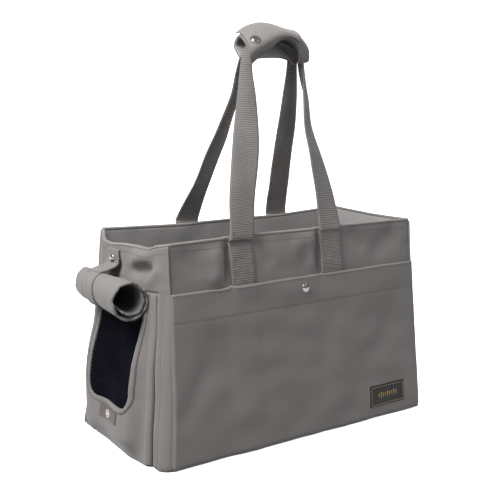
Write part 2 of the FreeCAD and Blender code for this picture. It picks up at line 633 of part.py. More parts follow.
def make_tag():
    """A small stitched tag with a plain ring on it, below the left window."""
    panel("left_end_tag", "left", "Size.gap", "Size.tag_wall",
          rectangle("Size.window_shift + Size.tag_front", "Size.tag_foot",
                    "Size.window_shift + Size.tag_rear", "Size.tag_top"))
    across = "Size.window_shift + Size.emblem_place"
    centre = FreeCAD.Vector(number(across), number("Size.emblem_height"), 0)

    def ring(sketch):
        for i, edge in enumerate(("Size.emblem_outer", "Size.emblem_inner")):
            circle = Part.Circle(centre, FreeCAD.Vector(0, 0, 1), number(edge))
            sketch.addGeometry(circle, False)
            for kind, text in (("DistanceX", across), ("DistanceY", "Size.emblem_height")):
                made = sketch.addConstraint(Sketcher.Constraint(kind, -1, 1, i, 3, number(text)))
                sketch.setExpression(f"Constraints[{made}]", text)
            made = sketch.addConstraint(Sketcher.Constraint("Radius", i, number(edge)))
            sketch.setExpression(f"Constraints[{made}]", edge)
    panel("left_end_emblem", "left", "2 * Size.gap + Size.tag_wall", "Size.emblem_rise", ring)


# ---- zip sliders and the rim's binding -------------------------------------------------------------

def zip_slider(name, sign):
    """A slider with its pull, riding just outside its zip on the gusset's side."""
    place = zip_offset("Size.seam_height - Size.slider_top")
    near = f"{place} + Size.slider_near"
    far = f"{place} + Size.slider_far"
    body = panel(f"{name}_zip_slider", "left", "Size.gap + 0.2", "Size.slider_wall",
                 rectangle(f"{sign} * ({near})", f"{SEAM} - Size.slider_foot", f"{sign} * ({far})",
                           f"{SEAM} - Size.slider_top"))
    pad(body, f"{name}_zip_pull", "left", "Size.gap + Size.pull_wall + 0.2", "Size.pull_wall",
        rectangle(f"{sign} * ({near} + Size.pull_inset)", f"{SEAM} - Size.pull_foot",
                  f"{sign} * ({far} - Size.pull_inset)", f"{SEAM} - Size.slider_foot + 1"))


def make_binding():
    """A round-edged binding that caps the rim all the way round."""
    out_x = "Size.body_length / 2"
    out_y = "Size.mouth_depth / 2"
    thick = "(Size.wall + Size.lining_wall + Size.gap)"

    def ring(sketch):
        draw_polygon(sketch, [(f"-{out_x}", f"-{out_y}"), (out_x, f"-{out_y}"),
                              (out_x, out_y), (f"-{out_x}", out_y)])
        draw_polygon(sketch, [(f"-({out_x} - {thick})", f"-({out_y} - {thick})"),
                              (f"{out_x} - {thick}", f"-({out_y} - {thick})"),
                              (f"{out_x} - {thick}", f"{out_y} - {thick}"),
                              (f"-({out_x} - {thick})", f"{out_y} - {thick}")])
    panel("mouth_binding", "ground", "Size.body_height + Size.gap", "Size.binding_height", ring)


def make_grip_snaps():
    """The cap on the flap's outer face, and its socket on the inner face."""
    flap_low = "Size.grip_top - Size.flap_drop"
    discs = [("grip_snap_cap", f"{flap_low} + Size.grip_wall + Size.gap", "Size.grip_snap_rise",
              "Size.grip_snap_radius"),
             ("grip_snap_socket", f"{flap_low} - Size.gap - Size.socket_rise", "Size.socket_rise",
              "Size.socket_radius")]
    for label, low, high, radius in discs:
        disc = doc.addObject("Part::Cylinder", label)
        disc.Label = label
        disc.setExpression("Placement.Base.x", "Size.grip_left + Size.grip_snap_place")
        disc.setExpression("Placement.Base.z", low)
        disc.setExpression("Height", high)
        disc.setExpression("Radius", radius)
        PARTS[label] = disc


def check_and_write():
    doc.recompute()
    for thing in doc.Objects:
        if {"Invalid", "Error"} & set(thing.State):
            raise RuntimeError(f"{thing.Name} failed: {thing.State}")
    os.makedirs("parts", exist_ok=True)
    for label, thing in PARTS.items():
        shape = thing.Shape
        if shape.isNull() or not shape.isValid() or not shape.Solids:
            raise RuntimeError(f"{label} has no valid solid")
        shape.exportStep(f"parts/{label}.step")
        box = shape.BoundBox
        print(f"{label:26s} {len(shape.Solids)} solid  {shape.Volume / 1000:8.2f} cm3"
              f"  x {box.XMin:7.1f} {box.XMax:7.1f}  y {box.YMin:7.1f} {box.YMax:7.1f}"
              f"  z {box.ZMin:6.1f} {box.ZMax:6.1f}")


make_base()
make_walls()
make_ends()
make_strap_tails()
for handle_side in ("front", "rear"):
    handle(handle_side)
make_grip()
make_grip_snaps()
make_pocket()
make_snaps()
make_covers_and_tabs()
make_tag()
zip_slider("front", "-1")
zip_slider("rear", "1")
make_binding()
check_and_write()
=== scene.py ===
import math

import bmesh
import bpy
import numpy as np
from mathutils import Matrix, Vector


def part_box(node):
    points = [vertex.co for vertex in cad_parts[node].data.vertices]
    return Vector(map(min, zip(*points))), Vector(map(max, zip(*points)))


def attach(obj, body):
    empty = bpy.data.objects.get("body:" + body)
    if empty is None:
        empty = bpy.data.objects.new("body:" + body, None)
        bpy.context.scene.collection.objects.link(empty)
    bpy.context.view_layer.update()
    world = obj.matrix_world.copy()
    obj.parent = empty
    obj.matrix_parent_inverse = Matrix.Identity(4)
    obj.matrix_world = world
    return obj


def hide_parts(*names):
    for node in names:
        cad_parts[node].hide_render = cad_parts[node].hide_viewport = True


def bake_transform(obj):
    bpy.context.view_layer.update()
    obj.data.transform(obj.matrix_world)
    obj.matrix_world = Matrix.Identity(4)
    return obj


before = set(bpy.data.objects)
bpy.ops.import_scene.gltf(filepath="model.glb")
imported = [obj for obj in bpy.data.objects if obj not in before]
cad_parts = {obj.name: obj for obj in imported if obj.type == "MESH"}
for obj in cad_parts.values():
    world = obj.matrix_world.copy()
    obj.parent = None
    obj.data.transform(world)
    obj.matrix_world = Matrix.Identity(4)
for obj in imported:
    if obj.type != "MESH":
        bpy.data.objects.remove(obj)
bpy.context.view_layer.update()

MM = 0.001

# ---- the bag's measures, from the frame -----------------------------------------------------------

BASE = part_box("base_panel")
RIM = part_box("mouth_binding")
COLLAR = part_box("left_collar")
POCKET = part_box("front_pocket")
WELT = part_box("left_window_welt")
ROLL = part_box("left_window_cover")
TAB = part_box("left_cover_tab")
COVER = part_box("right_window_cover")
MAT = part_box("comfort_mat")

HALF_BASE_LENGTH = BASE[1].x
HALF_BASE_DEPTH = BASE[1].y
HALF_RIM_LENGTH = RIM[1].x
HALF_RIM_DEPTH = RIM[1].y
RIM_HEIGHT = RIM[0].z
SEAM_HEIGHT = COLLAR[0].z
POCKET_MOUTH = POCKET[1].z
ZIP_TOP = 66 * MM
ZIP_BASE = 85 * MM
WALL = 3.4 * MM
STRAP_WIDTH = 38 * MM
FRONT_STRAPS = (-0.101, 0.0565)
REAR_STRAPS = (-0.071, 0.096)
FRONT_TAIL_FOOT = 0.150
REAR_TAIL_FOOT = 0.012
POCKET_HEM = 38 * MM
FOOT_RADIUS = 7 * MM
WINDOW_MIDDLE = (WELT[0].y + WELT[1].y) / 2
WINDOW_HALF = (WELT[1].y - WELT[0].y) / 2 - 7 * MM
WINDOW_LOW = WELT[0].z + 7 * MM
WINDOW_HIGH = WELT[1].z - 7 * MM
WINDOW_RADIUS = 18 * MM


def smooth(t):
    t = np.clip(t, 0, 1)
    return t * t * (3 - 2 * t)


def ripple(a, b, wave, seed, count=7):
    """Soft unevenness: a few sine waves in fixed directions, about -1 to 1."""
    rng = np.random.default_rng(seed)
    total = 0
    for _ in range(count):
        turn = rng.uniform(0, math.pi)
        length = wave * rng.uniform(0.6, 1.6)
        phase = rng.uniform(0, 2 * math.pi)
        total = total + np.sin(2 * math.pi * (a * math.cos(turn) + b * math.sin(turn)) / length + phase)
    return total / math.sqrt(count)


def crease(a, b, start, end, width, depth):
    """A soft valley along a line between two points, fading at both ends."""
    start, end = np.array(start, float), np.array(end, float)
    along = end - start
    length = np.linalg.norm(along)
    along = along / length
    da, db = a - start[0], b - start[1]
    t = (da * along[0] + db * along[1]) / length
    off = (da * -along[1] + db * along[0]) / width
    fade = smooth(t / 0.3) * smooth((1 - t) / 0.3)
    return -depth * fade * np.exp(-off * off)


def half_length(z):
    lean = np.clip(1 - z / SEAM_HEIGHT, 0, 1)
    return HALF_RIM_LENGTH + (HALF_BASE_LENGTH - HALF_RIM_LENGTH) * lean - foot_curl(z)


def half_depth(z):
    return HALF_BASE_DEPTH + (HALF_RIM_DEPTH - HALF_BASE_DEPTH) * z / RIM_HEIGHT - foot_curl(z)


def foot_curl(z):
    """How far the walls turn in under the base's rounded edge."""
    t = np.clip((FOOT_RADIUS - z) / FOOT_RADIUS, 0, 1)
    return FOOT_RADIUS * (1 - np.sqrt(1 - t * t * 0.96)) * 0.55


def zip_offset(z):
    below = ZIP_BASE + (ZIP_TOP - ZIP_BASE) * z / SEAM_HEIGHT
    above = ZIP_TOP * half_depth(np.maximum(z, SEAM_HEIGHT)) / half_depth(SEAM_HEIGHT)
    return np.where(z < SEAM_HEIGHT, below, above)


LEFT_RIM_PLACES = np.array([-80, -68, -45, -25, 8, 48, 64, 72, 80]) * MM
LEFT_RIM_DROPS = np.array([0, -2.5, -9, -9.5, -11.5, -15, -14, -5, 0]) * MM


def eased(x, places, values):
    """Joins values with level, eased steps between their places."""
    step = np.clip(np.searchsorted(places, x) - 1, 0, len(places) - 2)
    share = smooth((x - places[step]) / (places[step + 1] - places[step]))
    return values[step] + (values[step + 1] - values[step]) * share


DOOR_BULGE = 16 * MM
FRONT_FOLDS = [
    # start and end along the wall and up it, width, depth in millimetres: a rise where it is below zero
    ((-0.205, 0.280), (-0.150, 0.232), 0.012, 1.6),
    ((-0.138, 0.285), (-0.144, 0.222), 0.009, -3.2),
    ((-0.121, 0.284), (-0.128, 0.222), 0.0045, 3.0),
    ((-0.150, 0.282), (-0.165, 0.226), 0.012, -1.8),
    ((-0.070, 0.284), (-0.050, 0.240), 0.009, 2.2),
    ((-0.020, 0.262), (0.036, 0.284), 0.010, -2.0),
    ((0.024, 0.285), (0.020, 0.226), 0.008, -2.6),
    ((0.030, 0.284), (0.036, 0.228), 0.005, 2.4),
    ((0.000, 0.232), (0.034, 0.262), 0.012, 1.8),
    ((0.090, 0.284), (0.130, 0.246), 0.010, 2.0),
    ((0.205, 0.276), (0.130, 0.240), 0.014, 2.4),
    ((0.213, 0.250), (0.185, 0.284), 0.008, -1.6),
    ((-0.180, 0.190), (-0.090, 0.060), 0.020, 1.6),
    ((0.060, 0.200), (0.020, 0.070), 0.022, 1.2),
    ((0.190, 0.180), (0.130, 0.090), 0.018, 1.4),
    ((-0.218, 0.040), (-0.150, 0.150), 0.014, 1.6),
]
LEFT_FOLDS = [
    ((0.006, 0.247), (-0.062, 0.262), 0.008, 5.6),
    ((0.004, 0.262), (-0.058, 0.277), 0.008, -3.4),
    ((-0.040, 0.232), (-0.073, 0.262), 0.009, -3.0),
    ((0.000, 0.274), (-0.048, 0.276), 0.007, -2.0),
    ((0.012, 0.262), (0.050, 0.240), 0.009, 2.0),
    ((-0.050, 0.075), (-0.055, 0.130), 0.007, 1.4),
    ((-0.024, 0.062), (-0.066, 0.094), 0.010, 1.0),
]
LEFT_BASE_PLACES = [-1.0, -0.97, -0.90, -0.78, -0.71, -0.32, 0.08, 0.49, 0.68, 0.885, 1.0]
LEFT_BASE_SWELL = [-7 * MM, 1 * MM, 8 * MM, 7 * MM, 14 * MM, 12 * MM, 5.5 * MM, -1 * MM, -4 * MM, -6 * MM, -7 * MM]


def skin_raw(side, s, z):
    """The bag's outer face on one side: s runs along the side, z is the height before the rim sags."""
    s, z = np.broadcast_arrays(np.asarray(s, float), np.asarray(z, float))
    top = smooth((z - 0.19) / 0.095)
    if side in ("front", "rear"):
        sign = -1 if side == "front" else 1
        u = np.clip(s / half_length(z), -1, 1)
        edge = (1 - u ** 2)
        body = np.sin(np.pi * np.clip(z / RIM_HEIGHT, 0, 1))
        puff = 4.0 * MM * edge * body
        puff = puff + 1.5 * MM * ripple(s, z * 0.8, 0.16, 3 if sign < 0 else 5) * edge ** 0.5 * (0.35 + top)
        puff = puff + 0.5 * MM * ripple(s, z, 0.05, 8 if sign < 0 else 9) * edge ** 0.5
        if side == "front":
            for start, end, width, depth in FRONT_FOLDS:
                puff = puff + crease(s, z, start, end, width * 1.1, depth * 1.45 * MM)
            for strap in FRONT_STRAPS:
                beside = np.exp(-((s - strap + 0.0225) / 0.0030) ** 2)
                puff = puff - 3.4 * MM * beside * smooth((z - 0.215) / 0.02)
        sag = -5 * MM * edge if side == "rear" else 1.5 * MM * edge
        return np.stack([s, sign * (half_depth(z) + puff), z + sag * top], -1)
    sign = -1 if side == "left" else 1
    u = np.clip(s / half_depth(z), -1, 1)
    edge = 1 - u ** 2
    low = np.clip(1 - z / SEAM_HEIGHT, 0, 1)
    puff = 2.0 * MM * edge * np.sin(np.pi * np.clip(z / SEAM_HEIGHT, 0, 1))
    puff = puff + 1.0 * MM * ripple(s, z, 0.09, 12 if sign < 0 else 14) * edge ** 0.5
    if side == "left":
        puff = puff + np.interp(u, LEFT_BASE_PLACES, LEFT_BASE_SWELL) * low ** 1.1
        for start, end, width, depth in LEFT_FOLDS:
            puff = puff + crease(s, z, start, end, width * 1.1, depth * 1.45 * MM)
        across = smooth((s + 0.066) / 0.020) * smooth((0.092 - s) / 0.030)
        across = across * (1 + 0.4 * smooth((s - 0.010) / 0.050))
        puff = puff + DOOR_BULGE * across * smooth(z / 0.034) * smooth((0.245 - z) / 0.155)
        puff = puff + 1.2 * MM * smooth((z - SEAM_HEIGHT + 0.5 * MM) / (1.5 * MM)) * edge ** 0.3
        sag = eased(u * HALF_RIM_DEPTH, LEFT_RIM_PLACES, LEFT_RIM_DROPS)
        puff = puff - 4.5 * MM * smooth((np.abs(u) - 0.84) / 0.16) * smooth(z / 0.09)
    else:
        puff = puff - 6 * MM * low * (u ** 2)
        puff = puff + 1.2 * MM * smooth((z - SEAM_HEIGHT + 0.5 * MM) / (1.5 * MM)) * edge ** 0.3
        sag = -2 * MM * edge
    return np.stack([sign * (half_length(z) + puff), s, z + sag * top], -1)


OUTWARD = {"front": (0, -1, 0), "rear": (0, 1, 0), "left": (-1, 0, 0), "right": (1, 0, 0)}


def skin_normal(side, s, z):
    step = 1 * MM
    ds = skin_raw(side, np.asarray(s) + step, z) - skin_raw(side, np.asarray(s) - step, z)
    dz = skin_raw(side, s, np.asarray(z) + step) - skin_raw(side, s, np.asarray(z) - step)
    n = np.cross(ds, dz)
    n = n / np.linalg.norm(n, axis=-1, keepdims=True)
    flip = np.sign(n @ np.array(OUTWARD[side], float))
    return n * flip[..., None]


def skin(side, s, z, out=0.0):
    """A point that stands out from the bag's face."""
    s, z = np.broadcast_arrays(np.asarray(s, float), np.asarray(z, float))
    return skin_raw(side, s, z) + skin_normal(side, s, z) * np.asarray(out)[..., None]


# ---- mesh helpers ---------------------------------------------------------------------------------

def make(name, points, faces, material=None, uv=None):
    mesh = bpy.data.meshes.new(name)
    mesh.from_pydata([tuple(map(float, p)) for p in points], [], [tuple(map(int, f)) for f in faces])
    mesh.validate()
    mesh.polygons.foreach_set("use_smooth", [True] * len(mesh.polygons))
    if uv is not None:
        layer = mesh.uv_layers.new(name="UVMap")
        index = np.zeros(len(mesh.loops), np.int64)
        mesh.loops.foreach_get("vertex_index", index)
        layer.data.foreach_set("uv", np.asarray(uv, np.float32)[index].ravel())
    thing = bpy.data.objects.new(name, mesh)
    bpy.context.scene.collection.objects.link(thing)
    for m in material if isinstance(material, (list, tuple)) else [material]:
        if m is not None:
            thing.data.materials.append(m)
    return thing


def grid_faces(rows, cols, wrap=False, skip=None):
    """Quads over a grid of rows by cols points. wrap joins the last column to the first."""
    faces = []
    for r in range(rows - 1):
        for c in range(cols if wrap else cols - 1):
            if skip is not None and skip[r, c]:
                continue
            d = (c + 1) % cols
            faces.append((r * cols + c, r * cols + d, (r + 1) * cols + d, (r + 1) * cols + c))
    return faces


def lengths_uv(points):
    """Arc lengths across and along a grid of points, in metres."""
    across = np.zeros(points.shape[:2])
    along = np.zeros(points.shape[:2])
    across[:, 1:] = np.cumsum(np.linalg.norm(np.diff(points, axis=1), axis=-1), axis=1)
    along[1:, :] = np.cumsum(np.linalg.norm(np.diff(points, axis=0), axis=-1), axis=0)
    return np.stack([across, along], -1).reshape(-1, 2)


def grid_piece(name, points, material, wrap=False, skip=None):
    rows, cols = points.shape[:2]
    return make(name, points.reshape(-1, 3), grid_faces(rows, cols, wrap, skip), material, lengths_uv(points))


def settle(thing):
    """Applies a piece's modifiers to its mesh."""
    bpy.context.view_layer.update()
    graph = bpy.context.evaluated_depsgraph_get()
    mesh = bpy.data.meshes.new_from_object(thing.evaluated_get(graph))
    thing.modifiers.clear()
    thing.data = mesh
    return thing


def thicken(thing, thickness, offset=-1.0, inner_slot=0, levels=0, even=True):
    """Gives a sheet its thickness, then rounds it by subdivision."""
    shell = thing.modifiers.new("thickness", "SOLIDIFY")
    shell.thickness = thickness
    shell.offset = offset
    shell.use_even_offset = even
    shell.material_offset = inner_slot
    shell.material_offset_rim = 0
    if levels:
        surf = thing.modifiers.new("smooth", "SUBSURF")
        surf.levels = levels
        surf.render_levels = levels
    return settle(thing)


def outward(thing):
    """Turns every face of a closed piece to look away from its inside."""
    mesh = bmesh.new()
    mesh.from_mesh(thing.data)
    bmesh.ops.recalc_face_normals(mesh, faces=mesh.faces)
    mesh.to_mesh(thing.data)
    mesh.free()
    return thing


def spline(points, count, closed=False):
    """Points on a Catmull-Rom curve through the given rows, evenly spaced in the parameter."""
    points = np.asarray(points, float)
    n = len(points)
    if closed:
        padded = np.vstack([points[-1], points, points[0], points[1]])
        spans = n
    else:
        padded = np.vstack([2 * points[0] - points[1], points, 2 * points[-1] - points[-2]])
        spans = n - 1
    t = np.linspace(0, spans, count, endpoint=not closed)
    i = np.minimum(t.astype(int), spans - 1)
    f = (t - i)[:, None]
    p0, p1, p2, p3 = padded[i], padded[i + 1], padded[i + 2], padded[i + 3]
    return 0.5 * (2 * p1 + (p2 - p0) * f + (2 * p0 - 5 * p1 + 4 * p2 - p3) * f ** 2
                  + (3 * p1 - p0 - 3 * p2 + p3) * f ** 3)


def sweep(name, line, radii, material, sides=10, closed=False, normals=None):
    """A tube along a line of points; radii is one number or (across, out) pairs."""
    line = np.asarray(line, float)
    n = len(line)
    if closed:
        ways = np.roll(line, -1, 0) - np.roll(line, 1, 0)
    else:
        ways = np.gradient(line, axis=0)
    ways = ways / np.linalg.norm(ways, axis=1, keepdims=True)
    if normals is None:
        normals = np.tile([0.0, 0.0, 1.0], (n, 1))
        flat = np.abs(ways @ np.array([0, 0, 1.0])) > 0.9
        normals[flat] = [0, -1.0, 0]
    across = np.cross(ways, normals)
    across = across / np.linalg.norm(across, axis=1, keepdims=True)
    out = np.cross(across, ways)
    wide, high = (radii, radii) if np.isscalar(radii) else radii
    turn = np.linspace(0, 2 * math.pi, sides, endpoint=False)
    ring = (np.cos(turn)[None, :, None] * across[:, None, :] * wide
            + np.sin(turn)[None, :, None] * out[:, None, :] * high)
    points = line[:, None, :] + ring
    faces = grid_faces(n, sides, wrap=True)
    if closed:
        faces += [((n - 1) * sides + c, (n - 1) * sides + (c + 1) % sides, (c + 1) % sides, c)
                  for c in range(sides)]
    else:
        faces += [tuple(range(sides))[::-1], tuple((n - 1) * sides + c for c in range(sides))]
    uv = lengths_uv(points)
    return outward(make(name, points.reshape(-1, 3), faces, material, uv))


def stitches(name, line, normals, material, pitch=4.2 * MM, long=2.9 * MM, thick=0.42 * MM):
    """A row of raised threads along a line on the cloth."""
    line, normals = np.asarray(line, float), np.asarray(normals, float)
    lengths = np.concatenate([[0], np.cumsum(np.linalg.norm(np.diff(line, axis=0), axis=1))])
    count = max(1, int(lengths[-1] / pitch))
    verts, faces = [], []
    for i in range(count):
        middle = (i + 0.5) * lengths[-1] / count
        ends = []
        for place in (middle - long / 2, middle + long / 2):
            ends.append(np.array([np.interp(place, lengths, line[:, k]) for k in range(3)]))
        out = np.array([np.interp(middle, lengths, normals[:, k]) for k in range(3)])
        way = ends[1] - ends[0]
        way = way / np.linalg.norm(way)
        out = out / np.linalg.norm(out)
        side = np.cross(way, out)
        first = len(verts)
        verts.append(ends[0] - out * thick * 0.3)
        for place, size in ((0.2, 1.0), (0.8, 1.0)):
            centre = ends[0] + (ends[1] - ends[0]) * place
            for turn in np.linspace(0, 2 * math.pi, 6, endpoint=False):
                verts.append(centre + (side * math.cos(turn) + out * math.sin(turn)) * thick * size)
        verts.append(ends[1] - out * thick * 0.3)
        for k in range(6):
            a, b = first + 1 + k, first + 1 + (k + 1) % 6
            faces.append((first, b, a))
            faces.append((a, b, b + 6, a + 6))
            faces.append((first + 13, a + 6, b + 6))
    return outward(make(name, verts, faces, material))


def wall_stitches(name, side, s, z, out, material):
    s, z = np.broadcast_arrays(np.asarray(s, float), np.asarray(z, float))
    return stitches(name, skin(side, s, z, out), skin_normal(side, s, z), material)


def join(name, parts):
    """Joins pieces of one body into one mesh."""
    mesh = bmesh.new()
    for part in parts:
        mesh.from_mesh(part.data)
    data = bpy.data.meshes.new(name)
    mesh.to_mesh(data)
    mesh.free()
    for m in parts[0].data.materials:
        data.materials.append(m)
    whole = bpy.data.objects.new(name, data)
    bpy.context.scene.collection.objects.link(whole)
    for part in parts:
        bpy.data.objects.remove(part)
    return whole


# ---- materials --------------------------------------------------------------------------------------

def node_material(name, base, roughness, sheen=0.0, metallic=0.0, specular=0.3):
    material = bpy.data.materials.new(name)
    material.use_nodes = True
    tree = material.node_tree
    shader = tree.nodes["Principled BSDF"]
    shader.inputs["Base Color"].default_value = (*base, 1)
    shader.inputs["Roughness"].default_value = roughness
    shader.inputs["Metallic"].default_value = metallic
    shader.inputs["Sheen Weight"].default_value = sheen
    shader.inputs["Sheen Roughness"].default_value = 0.45
    shader.inputs["Specular IOR Level"].default_value = specular
    return material, tree, shader


def add(tree, kind, **values):
    node = tree.nodes.new(kind)
    for key, value in values.items():
        if key in node.inputs:
            node.inputs[key].default_value = value
        else:
            setattr(node, key, value)
    return node


def wave_height(tree, coordinate, direction, scale, distortion=0.0):
    wave = add(tree, "ShaderNodeTexWave", wave_type="BANDS", bands_direction=direction)
    wave.inputs["Scale"].default_value = scale
    wave.inputs["Distortion"].default_value = distortion
    wave.inputs["Detail"].default_value = 1.0
    tree.links.new(coordinate, wave.inputs["Vector"])
    return wave.outputs["Fac"]


def math_node(tree, operation, a, b):
    node = add(tree, "ShaderNodeMath", operation=operation)
    for socket, value in zip(node.inputs, (a, b)):
        if isinstance(value, (int, float)):
            socket.default_value = value
        else:
            tree.links.new(value, socket)
    return node.outputs[0]


def shaded(tree, fac, dark, light):
    ramp = add(tree, "ShaderNodeMix", data_type="RGBA")
    ramp.inputs["A"].default_value = (*dark, 1)
    ramp.inputs["B"].default_value = (*light, 1)
    tree.links.new(fac, ramp.inputs["Factor"])
    return ramp.outputs["Result"]


def noise_fac(tree, coordinate, scale, detail=3.0, roughness=0.55):
    noise = add(tree, "ShaderNodeTexNoise")
    noise.inputs["Scale"].default_value = scale
    noise.inputs["Detail"].default_value = detail
    noise.inputs["Roughness"].default_value = roughness
    tree.links.new(coordinate, noise.inputs["Vector"])
    return noise.outputs["Fac"]


def canvas_material(name, tone, sheen=0.25, yarn=0.9 * MM, depth=0.35, mottling=0.10):
    """Plain-weave cotton: warp and weft ridges, slubs, and a cloudy variation of tone."""
    material, tree, shader = node_material(name, tone, 0.86, sheen)
    place = add(tree, "ShaderNodeTexCoord").outputs["Object"]
    scale = 1 / yarn / (2 * math.pi) * 2
    waves = [wave_height(tree, place, axis, scale * 1.6, 0.6) for axis in "XYZ"]
    weave = math_node(tree, "ADD", math_node(tree, "ADD", waves[0], waves[1]), waves[2])
    weave = math_node(tree, "MULTIPLY", weave, 0.333)
    cloud = noise_fac(tree, place, 14.0, 4.0)
    fine = noise_fac(tree, place, 900.0, 2.0)
    slub = noise_fac(tree, place, 160.0, 3.0, 0.7)
    mixed = math_node(tree, "ADD", math_node(tree, "MULTIPLY", cloud, 0.5), math_node(tree, "MULTIPLY", fine, 0.3))
    mixed = math_node(tree, "ADD", mixed, math_node(tree, "MULTIPLY", slub, 0.2))
    dark = tuple(c * (1 - mottling * 1.6) for c in tone)
    light = tuple(c * (1 + mottling * 1.6) for c in tone)
    tree.links.new(shaded(tree, mixed, dark, light), shader.inputs["Base Color"])
    rough = add(tree, "ShaderNodeMapRange")
    rough.inputs["To Min"].default_value = 0.78
    rough.inputs["To Max"].default_value = 0.93
    tree.links.new(cloud, rough.inputs["Value"])
    tree.links.new(rough.outputs["Result"], shader.inputs["Roughness"])
    height = math_node(tree, "ADD", math_node(tree, "MULTIPLY", weave, 0.5),
                       math_node(tree, "MULTIPLY", fine, 0.5))
    bump = add(tree, "ShaderNodeBump")
    bump.inputs["Strength"].default_value = depth
    bump.inputs["Distance"].default_value = 0.4 * MM
    tree.links.new(height, bump.inputs["Height"])
    broad = add(tree, "ShaderNodeBump")
    broad.inputs["Strength"].default_value = 0.35
    broad.inputs["Distance"].default_value = 1.2 * MM
    tree.links.new(noise_fac(tree, place, 55.0, 4.0, 0.6), broad.inputs["Height"])
    tree.links.new(broad.outputs["Normal"], bump.inputs["Normal"])
    tree.links.new(bump.outputs["Normal"], shader.inputs["Normal"])
    return material


def shade_depth(material, light_end, dark_end):
    """Darkens the cloth with its depth along Y, as the tight turns of a roll shut out the light."""
    tree = material.node_tree
    shader = tree.nodes["Principled BSDF"]
    tone = shader.inputs["Base Color"].links[0].from_socket
    place = add(tree, "ShaderNodeTexCoord").outputs["Object"]
    apart = add(tree, "ShaderNodeSeparateXYZ")
    tree.links.new(place, apart.inputs["Vector"])
    depth = add(tree, "ShaderNodeMapRange", interpolation_type="SMOOTHSTEP")
    depth.inputs["From Min"].default_value = light_end
    depth.inputs["From Max"].default_value = dark_end
    tree.links.new(apart.outputs["Y"], depth.inputs["Value"])
    mix = add(tree, "ShaderNodeMix", data_type="RGBA")
    mix.inputs["B"].default_value = (0.004, 0.004, 0.004, 1)
    tree.links.new(depth.outputs["Result"], mix.inputs["Factor"])
    tree.links.new(tone, mix.inputs["A"])
    tree.links.new(mix.outputs["Result"], shader.inputs["Base Color"])


def webbing_material(name, tone, rib=3.1 * MM):
    """Cotton webbing with ribs across its length, from the strap's own lengthwise measure; its colour is painted
    lighter on each rib's crest and darker in the groove between ribs, as painted light and shade, over a cloudy
    variation of tone.
    """
    material, tree, shader = node_material(name, tone, 0.8, 0.2)
    measure = add(tree, "ShaderNodeTexCoord").outputs["UV"]
    place = add(tree, "ShaderNodeTexCoord").outputs["Object"]
    ribs = wave_height(tree, measure, "Y", math.pi / 10 / rib, 0.05)
    yarns = wave_height(tree, measure, "X", math.pi / 10 / (1.6 * MM), 0.3)
    cloud = noise_fac(tree, place, 22.0, 4.0)
    # painted highlight and shade: the rib bands make the colour light on the crests and dark in the grooves; the
    # cloud adds a real variation of tone
    fac = math_node(tree, "ADD", math_node(tree, "MULTIPLY", ribs, 0.55), math_node(tree, "MULTIPLY", cloud, 0.45))
    dark = tuple(c * 0.62 for c in tone)
    light = tuple(c * 1.34 for c in tone)
    tree.links.new(shaded(tree, fac, dark, light), shader.inputs["Base Color"])
    height = math_node(tree, "ADD", ribs, math_node(tree, "MULTIPLY", yarns, 0.3))
    bump = add(tree, "ShaderNodeBump")
    bump.inputs["Strength"].default_value = 0.8
    bump.inputs["Distance"].default_value = 0.6 * MM
    tree.links.new(height, bump.inputs["Height"])
    tree.links.new(bump.outputs["Normal"], shader.inputs["Normal"])
    return material


def plain_material(name, tone, roughness, metallic=0.0, grain=300.0, depth=0.1, sheen=0.0, variation=0.12,
                   specular=0.3):
    """A surface with fine grain and a little variation of tone."""
    material, tree, shader = node_material(name, tone, roughness, sheen, metallic, specular)
    place = add(tree, "ShaderNodeTexCoord").outputs["Object"]
    fac = noise_fac(tree, place, grain, 3.0)
    dark = tuple(c * (1 - variation) for c in tone)
    light = tuple(min(1.0, c * (1 + variation)) for c in tone)
    tree.links.new(shaded(tree, fac, dark, light), shader.inputs["Base Color"])
    bump = add(tree, "ShaderNodeBump")
    bump.inputs["Strength"].default_value = depth
    bump.inputs["Distance"].default_value = 0.2 * MM
    tree.links.new(fac, bump.inputs["Height"])
    tree.links.new(bump.outputs["Normal"], shader.inputs["Normal"])
    return material


CANVAS = canvas_material("canvas", (0.192, 0.181, 0.176))
CANVAS_EDGE = canvas_material("canvas_edge", (0.225, 0.212, 0.205), sheen=0.3)
ROLL_HOLLOW = canvas_material("roll_hollow", (0.192, 0.181, 0.176))
LINING = canvas_material("lining", (0.43, 0.417, 0.411), sheen=0.15, yarn=0.6 * MM, depth=0.2)
WEBBING = webbing_material("webbing", (0.185, 0.174, 0.168))
MAT_CLOTH = canvas_material("mat_cloth", (0.22, 0.21, 0.205), sheen=0.5, yarn=1.2 * MM, depth=0.3)
MESH_YARN = plain_material("mesh_yarn", (0.003, 0.0035, 0.009), 0.6, grain=900.0, depth=0.3, specular=0.09)
MESH_BACK = plain_material("mesh_back", (0.0015, 0.0015, 0.003), 0.8, grain=600.0, specular=0.03)
shade_depth(ROLL_HOLLOW, -51 * MM, -30 * MM)
THREAD = plain_material("thread", (0.26, 0.245, 0.238), 0.7, grain=2000.0)
THREAD_DARK = plain_material("thread_dark", (0.135, 0.127, 0.123), 0.7, grain=2000.0)
CHROME = plain_material("chrome", (0.22, 0.216, 0.212), 0.16, metallic=1.0, grain=800.0,
                        depth=0.02, variation=0.04)
SOCKET = plain_material("snap_socket", (0.25, 0.24, 0.235), 0.3, metallic=1.0, grain=800.0, depth=0.03)
ZIP_METAL = plain_material("zip_metal", (0.16, 0.155, 0.15), 0.35, metallic=0.9, grain=900.0, depth=0.05)
ZIP_CLOTH = plain_material("zip_cloth", (0.045, 0.042, 0.04), 0.75, grain=1500.0, depth=0.3)
LABEL = plain_material("label_cloth", (0.008, 0.0075, 0.009), 0.7, grain=1400.0, depth=0.4, sheen=0.1)
GOLD = plain_material("label_gold", (0.40, 0.27, 0.09), 0.55, grain=1600.0, depth=0.3)
TAG = plain_material("tag_leather", (0.088, 0.078, 0.075), 0.55, grain=700.0, depth=0.5)
